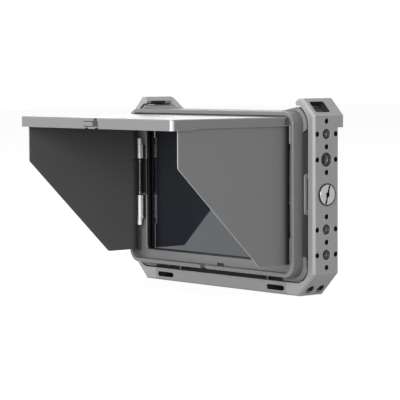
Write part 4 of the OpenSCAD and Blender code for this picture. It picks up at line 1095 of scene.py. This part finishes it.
@dataclass
class Cage:
    """The machined cage: side plates, rail, screws and the thread ridges in its holes.

    Attributes:
        dresser: puts the finishes on.
        record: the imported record, whose mounts give the threaded holes.
        crease: angle in degrees past which an edge of a thread looks sharp.
    """

    dresser: Dresser
    record: dict
    crease: float = 50.0

    def build(self) -> None:
        """Dresses the cage and adds its threads."""
        dress = self.dresser.dress
        dress(CAGE_METAL, "side_plate_right", "side_plate_left")
        dress(RAIL_METAL, "bottom_rail")
        dress(DARK_STEEL, "rail_screws", "bottom_studs")
        dress(BLACK_RUBBER, "coin_rings", "side_pads", "rail_pad")
        dress(GREY_RUBBER, "corner_bumpers")
        for side in Side:
            low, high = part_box(f"coin_screw_{side.word}")
            centre = (low + high) / 2
            centre.x = side.value * max(abs(low.x), abs(high.x))
            finish = TurnedSteel(f"turned coin screw {side.word}", (0.45, 0.45, 0.445),
                                 metallic=0.8, roughness=0.3, edge_share=0.1,
                                 centre=tuple(centre))
            dress(finish, f"coin_screw_{side.word}")
        self.add_threads()

    def add_threads(self) -> None:
        """Puts a ridge into every threaded hole, one piece for each side."""
        ridges: dict[str, list[Piece]] = {}
        for mount in self.record["mounts"]:
            if mount["kind"] != "threaded_hole":
                continue
            axis = Axis.X if abs(mount["axis"][0]) > 0.5 else Axis.Z
            length = mount["dims"]["length_mm"] * MM
            thread = Thread(tuple(mount["pos_m"]), axis, mount["dims"]["r_mm"] * MM, length)
            ridges.setdefault(mount["name"].split("_")[0], []).append(thread.build())
        for place, pieces in ridges.items():
            joined = Bench.join(pieces, f"{place}_screw_threads")
            Bench.smooth(joined, self.crease)
            self.dresser.add(joined, SHADED_THREAD_METAL, "cage_aluminium")


@dataclass
class Monitor:
    """The monitor body with its glass, panels, sockets and battery plate.

    Attributes:
        dresser: puts the finishes on.
        border: width of the black border printed round the picture.
        gasket: width of the matt gasket that covers the glass's sides.
        latch_wire: thickness of the latch spring's wire.
        latch_turns: number of its turns.
        latch_steps: stretches in one of its turns.
    """

    dresser: Dresser
    border: float = 9 * MM
    gasket: float = 5.5 * MM
    latch_wire: float = 0.3 * MM
    latch_turns: int = 4
    latch_steps: int = 20

    def build(self) -> None:
        """Dresses the monitor's pieces."""
        dress = self.dresser.dress
        dress(HOUSING_METAL, "front_housing", "rear_housing")
        dress(self.glass(), "front_glass")
        dress(BLACK_PLASTIC, "lcd_panel", "board_chips", "button_switch", "battery_plate",
              "dc_inlet", "headphone_socket", "power_button")
        dress(WHITE_PLASTIC, "backlight_unit")
        dress(BOARD, "main_board")
        dress(BARE_METAL, "heat_sink")
        dress(PANEL_PLASTIC, "side_panels", "battery_latch")
        dress(BLOCK_METAL, "side_thread_blocks")
        dress(DARK_STEEL, "housing_screws")
        dress(GOLD, "battery_contacts")
        dress(SOCKET_METAL, "hdmi_sockets", "usb_c_socket")
        self.add_latch_spring()

    def add_latch_spring(self) -> None:
        """Winds the latch's spring and sets it in place of the CAD spring."""
        low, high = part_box("latch_spring")
        middle = (low + high) / 2
        wire, turns = self.latch_wire, self.latch_turns
        spring = Bench.wind(wire / 2, ((high.x - low.x - wire) / 2, wire / 2),
                            (high.z - low.z - wire) / turns, turns, self.latch_steps)
        Bench.cap(spring)
        spring.name = "latch_spring_coil"
        spring.location = (middle.x, middle.y, low.z)
        Bench.settle(spring)
        Bench.tidy_normals(spring)
        Bench.smooth(spring, WIRE_CREASE)
        self.dresser.add(spring, DARK_STEEL, "bright_steel")
        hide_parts("latch_spring")
        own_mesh(spring)

    def glass(self) -> ScreenGlass:
        """Sets out the picture area inside the printed border.

        Returns:
            The glass finish.
        """
        low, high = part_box("front_glass")
        picture = Block((-high.x + self.border, low.y - MM, low.z + self.border),
                        (high.x - self.border, high.y + MM, high.z - self.border))
        clear = Block((-high.x + self.gasket, low.y - MM, low.z - MM),
                      (high.x - self.gasket, high.y + MM, high.z + MM))
        return ScreenGlass("cover glass", (0.001, 0.003, 0.008), (0.001, 0.001, 0.002),
                           picture, clear)


@dataclass
class HingeSpring:
    """A flap's torsion spring, wound anew.

    Attributes:
        side: the side of the hood.
        wire: thickness of the wire.
        pitch: rise of an open turn.
        closed: number of closed turns at each end.
        steps: stretches in one turn.
        play: room between the pin and the coil.
        gap: room between two closed turns.
        foot: bends of the end that stands on the frame, in millimetres.
        leg: bends of the end that lies along the flap, in millimetres.

    NEARLY keeps a count of turns whole that rounding has left just below it.
    """

    side: Side
    wire: float = 0.55 * MM
    pitch: float = 1.5 * MM
    closed: int = 3
    steps: int = 24
    play: float = 0.1 * MM
    gap: float = 0.02 * MM
    foot: tuple[Point, ...] = ((0, 0.8, 0), (-0.3, 0.8, 0), (-1.2, 1.5, 0))
    leg: tuple[Point, ...] = ((0, -1.0, 0), (0.5, -1.2, 0), (0.45, -1.4, 0), (0.27, -1.2, 0),
                              (0, -4.7, 0))

    NEARLY = 0.001

    @property
    def node(self) -> str:
        """The CAD node that this spring stands for."""
        return f"{self.side.word}_hinge_spring"

    def build(self) -> Piece:
        """Winds the coil, bends its legs and sets it on its pin.

        Returns:
            The spring as a settled piece.
        """
        low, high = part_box(self.node)
        pin_low, pin_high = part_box(f"{self.side.word}_hinge_pin")
        pin = (pin_low + pin_high) / 2
        pin_radius = (pin_high.x - pin_low.x) / 2
        radius = pin_radius + self.play + self.wire / 2
        turn = self.wire + self.gap
        reach = high.z - low.z - self.wire
        open_turns = math.floor((reach - 2 * self.closed * turn) / self.pitch + self.NEARLY)
        runs = [(turn, self.closed), (self.pitch, open_turns), (turn, self.closed)]
        height = (reach - sum(rise * turns for rise, turns in runs)) / 2 + self.wire / 2
        start = height
        coils = []
        for rise, turns in runs:
            coils.append(Bench.wind(self.wire / 2, (-radius, height), rise, turns, self.steps))
            height += rise * turns
        spring = Bench.join(coils, f"{self.node}_coil")
        Bench.tidy_normals(spring)
        Bench.grow_end(spring, start, self.foot)
        Bench.grow_end(spring, height, self.leg)
        Bench.tidy_normals(spring)
        spring.scale.x = self.side.value
        spring.location = (pin.x, pin.y, low.z)
        Bench.settle(spring)
        Bench.tidy_normals(spring)
        Bench.smooth(spring, WIRE_CREASE)
        return spring


@dataclass
class SunHood:
    """The folding hood: its frame, lid, flaps and hinges.

    Attributes:
        dresser: puts the finishes on.
        colour: colour of the flaps' outer sides.
        lid_colour_with_painted_light: colour of the lid's outer side, a little lighter than the
            flaps' as painted light from above.
        lining: colour of their inner sides.
        cut: colour of the flaps' cut edges.
        wall: thickness of the lid's sheet.
        hinge_shade: how far from the flaps' rear edges the painted shade starts, and where it is
            full.
    """

    dresser: Dresser
    colour: Colour = (0.185, 0.185, 0.187)
    # The lid is the flaps' sheet, painted a little lighter as light from above.
    lid_colour_with_painted_light: Colour = (0.2, 0.2, 0.202)
    lining: Colour = (0.13, 0.13, 0.132)
    cut: Colour = (0.5, 0.5, 0.5)
    wall: float = 0.6 * MM
    hinge_shade: tuple[float, float] = (6.5 * MM, 0.5 * MM)

    def build(self) -> None:
        """Dresses the hood and winds its springs."""
        dress = self.dresser.dress
        dress(self.frame_metal(), "hood_frame")
        dress(DARK_STEEL, "hood_screws")
        dress(self.lid_sheet(), "lid")
        dress(BLACK_PLASTIC, "catch_block")
        dress(BRIGHT_STEEL, "lid_hinge_eyes", "lid_hinge_brackets", "lid_hinge_pins")
        dress(self.flap_sheet(), "left_flap", "right_flap")
        for side in Side:
            word = side.word
            dress(BRIGHT_STEEL, f"{word}_hinge_eyes", f"{word}_hinge_bracket")
            dress(DARK_STEEL, f"{word}_hinge_pin")
            self.add_spring(side)

    def frame_metal(self) -> MetalWithPaintedShade:
        """The hood frame's finish, with painted shade in the pockets behind the springs.

        Returns:
            The finish.
        """
        low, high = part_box(HingeSpring(Side.RIGHT).node)
        spring_pocket_shade = Block((0.0765, -0.0225, low.z), (0.0885, -0.0125, high.z))
        return MetalWithPaintedShade("anodised hood frame", (0.19, 0.19, 0.192), metallic=0.2,
                             roughness=0.42, edge_colour=(0.6, 0.6, 0.6), edge_share=0.5,
                             shade_blocks=(spring_pocket_shade,), painted_shade_colour=(0.012, 0.012, 0.012))

    def lid_sheet(self) -> LinedSheet:
        """The lid's finish, dark on the faces inside its skirts.

        Returns:
            The finish.
        """
        low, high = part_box("lid")
        inner = Block((-high.x + self.wall, low.y + self.wall, low.z - MM),
                      (high.x - self.wall, high.y + MM, high.z - self.wall), rounding=2 * MM)
        return LinedSheet("lid sheet", self.lid_colour_with_painted_light, metallic=0.2, roughness=0.34,
                          edge_colour=(0.8, 0.8, 0.8), edge_share=0.6, edge_radius=0.3 * MM,
                          lining=self.lining, inner=inner, corner_highlight_share=0.7)

    def flap_sheet(self) -> LinedSheet:
        """The flaps' finish, dark on their inner faces and bright along their cut edges.

        Returns:
            The finish.
        """
        low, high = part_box("right_flap")
        inner = Block((0.0, low.y - MM, low.z - MM),
                      ((low.x + high.x) / 2, high.y + MM, high.z + MM))
        return LinedSheet("flap sheet", self.colour, metallic=0.2, roughness=0.42,
                          edge_share=0.0, edge_radius=0.15 * MM, lining=self.lining, inner=inner,
                          cut_colour=self.cut, cut_axis=Axis.X,
                          hinge_shade=tuple(high.y - away for away in self.hinge_shade))

    def add_spring(self, side: Side) -> None:
        """Winds a flap's spring, gives it its finish and puts it in place of the CAD spring.

        Args:
            side: the side of the hood.
        """
        maker = HingeSpring(side)
        spring = maker.build()
        low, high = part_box(maker.node)
        self.dresser.coat(spring, SPRING_WIRE)
        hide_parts(maker.node)
        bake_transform(spring)
        LOG.info("wound %s", spring.name)


@dataclass(frozen=True)
class Lamp:
    """A soft area lamp that looks at a point.

    Attributes:
        name: what the lamp does.
        place: where it hangs.
        aim: what it looks at.
        size: its width and height.
        power: its power in watts.
    """

    name: str
    place: Point
    aim: Point
    size: tuple[float, float]
    power: float

    def hang(self) -> None:
        """Hangs the lamp."""
        bpy.ops.object.light_add(type="AREA", location=self.place)
        lamp = bpy.context.object
        lamp.name = self.name
        lamp.data.shape = "RECTANGLE"
        lamp.data.size, lamp.data.size_y = self.size
        lamp.data.energy = self.power
        away = Vector(self.place) - Vector(self.aim)
        lamp.rotation_euler = away.to_track_quat("Z", "Y").to_euler()
        lamp.visible_camera = False


@dataclass
class Studio:
    """A pale sweep of floor, soft lamps and the camera at the photograph's angle.

    Attributes:
        camera_place: the camera's place.
        azimuth: its heading in degrees, 0 along +Y and growing towards -X.
        pitch: its tilt down in degrees.
        roll: its roll in degrees.
        lens: focal length on a 36 mm sensor.
        aim: the middle of the object, which the lamps look at.
        floor_size: width of the floor.
        floor_drop: how far the floor lies below the object.
        floor_colour: colour that takes the shadow.
        floor_glow: how brightly the floor glows to the eye.
        world_light: strength of the world as a light.

    SENSOR is the sensor's width in millimetres, and NEAREST where the camera starts to see.
    """

    camera_place: Point = (1.0921, -0.9615, 0.1581)
    azimuth: float = 49.541
    pitch: float = 3.702
    roll: float = -0.236
    lens: float = 176.64
    aim: Point = (0.0, -0.05, 0.07)
    floor_size: float = 12.0
    floor_drop: float = 0.2 * MM
    floor_colour: Colour = (0.36, 0.36, 0.36)
    floor_glow: float = 0.86
    world_light: float = 0.3

    SENSOR = 36.0
    NEAREST = 0.01

    def build(self) -> None:
        """Sets up the whole studio."""
        self.set_camera()
        self.lay_floor()
        self.light_world()
        for lamp in self.lamps():
            lamp.hang()
        bpy.context.scene.view_settings.view_transform = "Standard"

    def set_camera(self) -> None:
        """Places the camera and turns it along its fitted axes."""
        turn, tilt, lean = (math.radians(v) for v in (self.azimuth, self.pitch, self.roll))
        ahead = Vector((-math.sin(turn) * math.cos(tilt), math.cos(turn) * math.cos(tilt),
                        -math.sin(tilt)))
        right = Vector((math.cos(turn), math.sin(turn), 0.0))
        above = right.cross(ahead)
        across = math.cos(lean) * right + math.sin(lean) * above
        upward = math.cos(lean) * above - math.sin(lean) * right
        bpy.ops.object.camera_add(location=self.camera_place)
        camera = bpy.context.object
        axes = Matrix((across, upward, -ahead)).transposed()
        camera.rotation_euler = axes.to_euler()
        camera.data.lens = self.lens
        camera.data.sensor_width = self.SENSOR
        camera.data.clip_start = self.NEAREST
        bpy.context.scene.camera = camera

    def lay_floor(self) -> None:
        """Lays a floor that glows white, keeps a soft shadow and fades into the backdrop."""
        bpy.ops.mesh.primitive_plane_add(size=self.floor_size, location=(0, 0, -self.floor_drop))
        floor = bpy.context.object
        floor.name = "studio_floor"
        Bench.settle(floor)
        made = MaterialBuilder("white paper floor")
        glow = made.maths("MULTIPLY", self.seen(made), self.floor_glow)
        made.set(Base_Color=paint(self.floor_colour), Roughness=0.9, Specular_IOR_Level=0.0,
                 Emission_Color=paint(WHITE), Emission_Strength=glow)
        floor.data.materials.append(made.material)

    def light_world(self) -> None:
        """Makes the world white to the eye and to reflections, and dim as a light."""
        world = bpy.data.worlds.new("plain studio")
        bpy.context.scene.world = world
        world.use_nodes = True
        made = TreeBuilder(world.node_tree)
        level = made.node("MapRange")
        made.feed(self.seen(made), level.inputs["Value"])
        level.inputs["To Min"].default_value = self.world_light
        shade = made.tree.nodes["Background"]
        made.feed(paint(WHITE), shade.inputs["Color"])
        made.feed(level.outputs["Result"], shade.inputs["Strength"])

    @staticmethod
    def seen(made: TreeBuilder) -> Socket:
        """1 where the camera or a reflection looks, and 0 for light that falls on things."""
        sight = made.node("LightPath").outputs
        return made.maths("MAXIMUM", sight["Is Camera Ray"], sight["Is Glossy Ray"])

    def lamps(self) -> list[Lamp]:
        """The studio's lamps: overhead, in front, at both sides, low behind and by the camera."""
        return [
            Lamp("overhead_softbox", (-0.3, -0.4, 1.6), self.aim, (1.6, 1.2), 15.0),
            Lamp("front_softbox", (0.8, -1.9, 0.6), self.aim, (1.0, 1.0), 31.0),
            Lamp("left_softbox", (-1.4, -1.3, 0.3), self.aim, (1.2, 0.8), 5.0),
            Lamp("back_strip", (-1.3, 1.5, 0.4), self.aim, (1.4, 0.5), 5.0),
            Lamp("corner_softbox", (1.5, -1.75, 0.2), self.aim, (0.5, 0.5), 4.0),
            Lamp("right_fill", (1.8, 0.1, 0.5), self.aim, (0.8, 0.8), 0.8),
        ]


def main() -> None:
    """Dresses the monitor and sets up the studio."""
    logging.basicConfig(level=logging.INFO, format="%(name)s: %(message)s")
    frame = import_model()
    Bench.clear()
    dresser = Dresser(frame, Groups())
    Cage(dresser, frame["record"]).build()
    Monitor(dresser).build()
    SunHood(dresser).build()
    Studio().build()


if __name__ == "__main__":
    main()
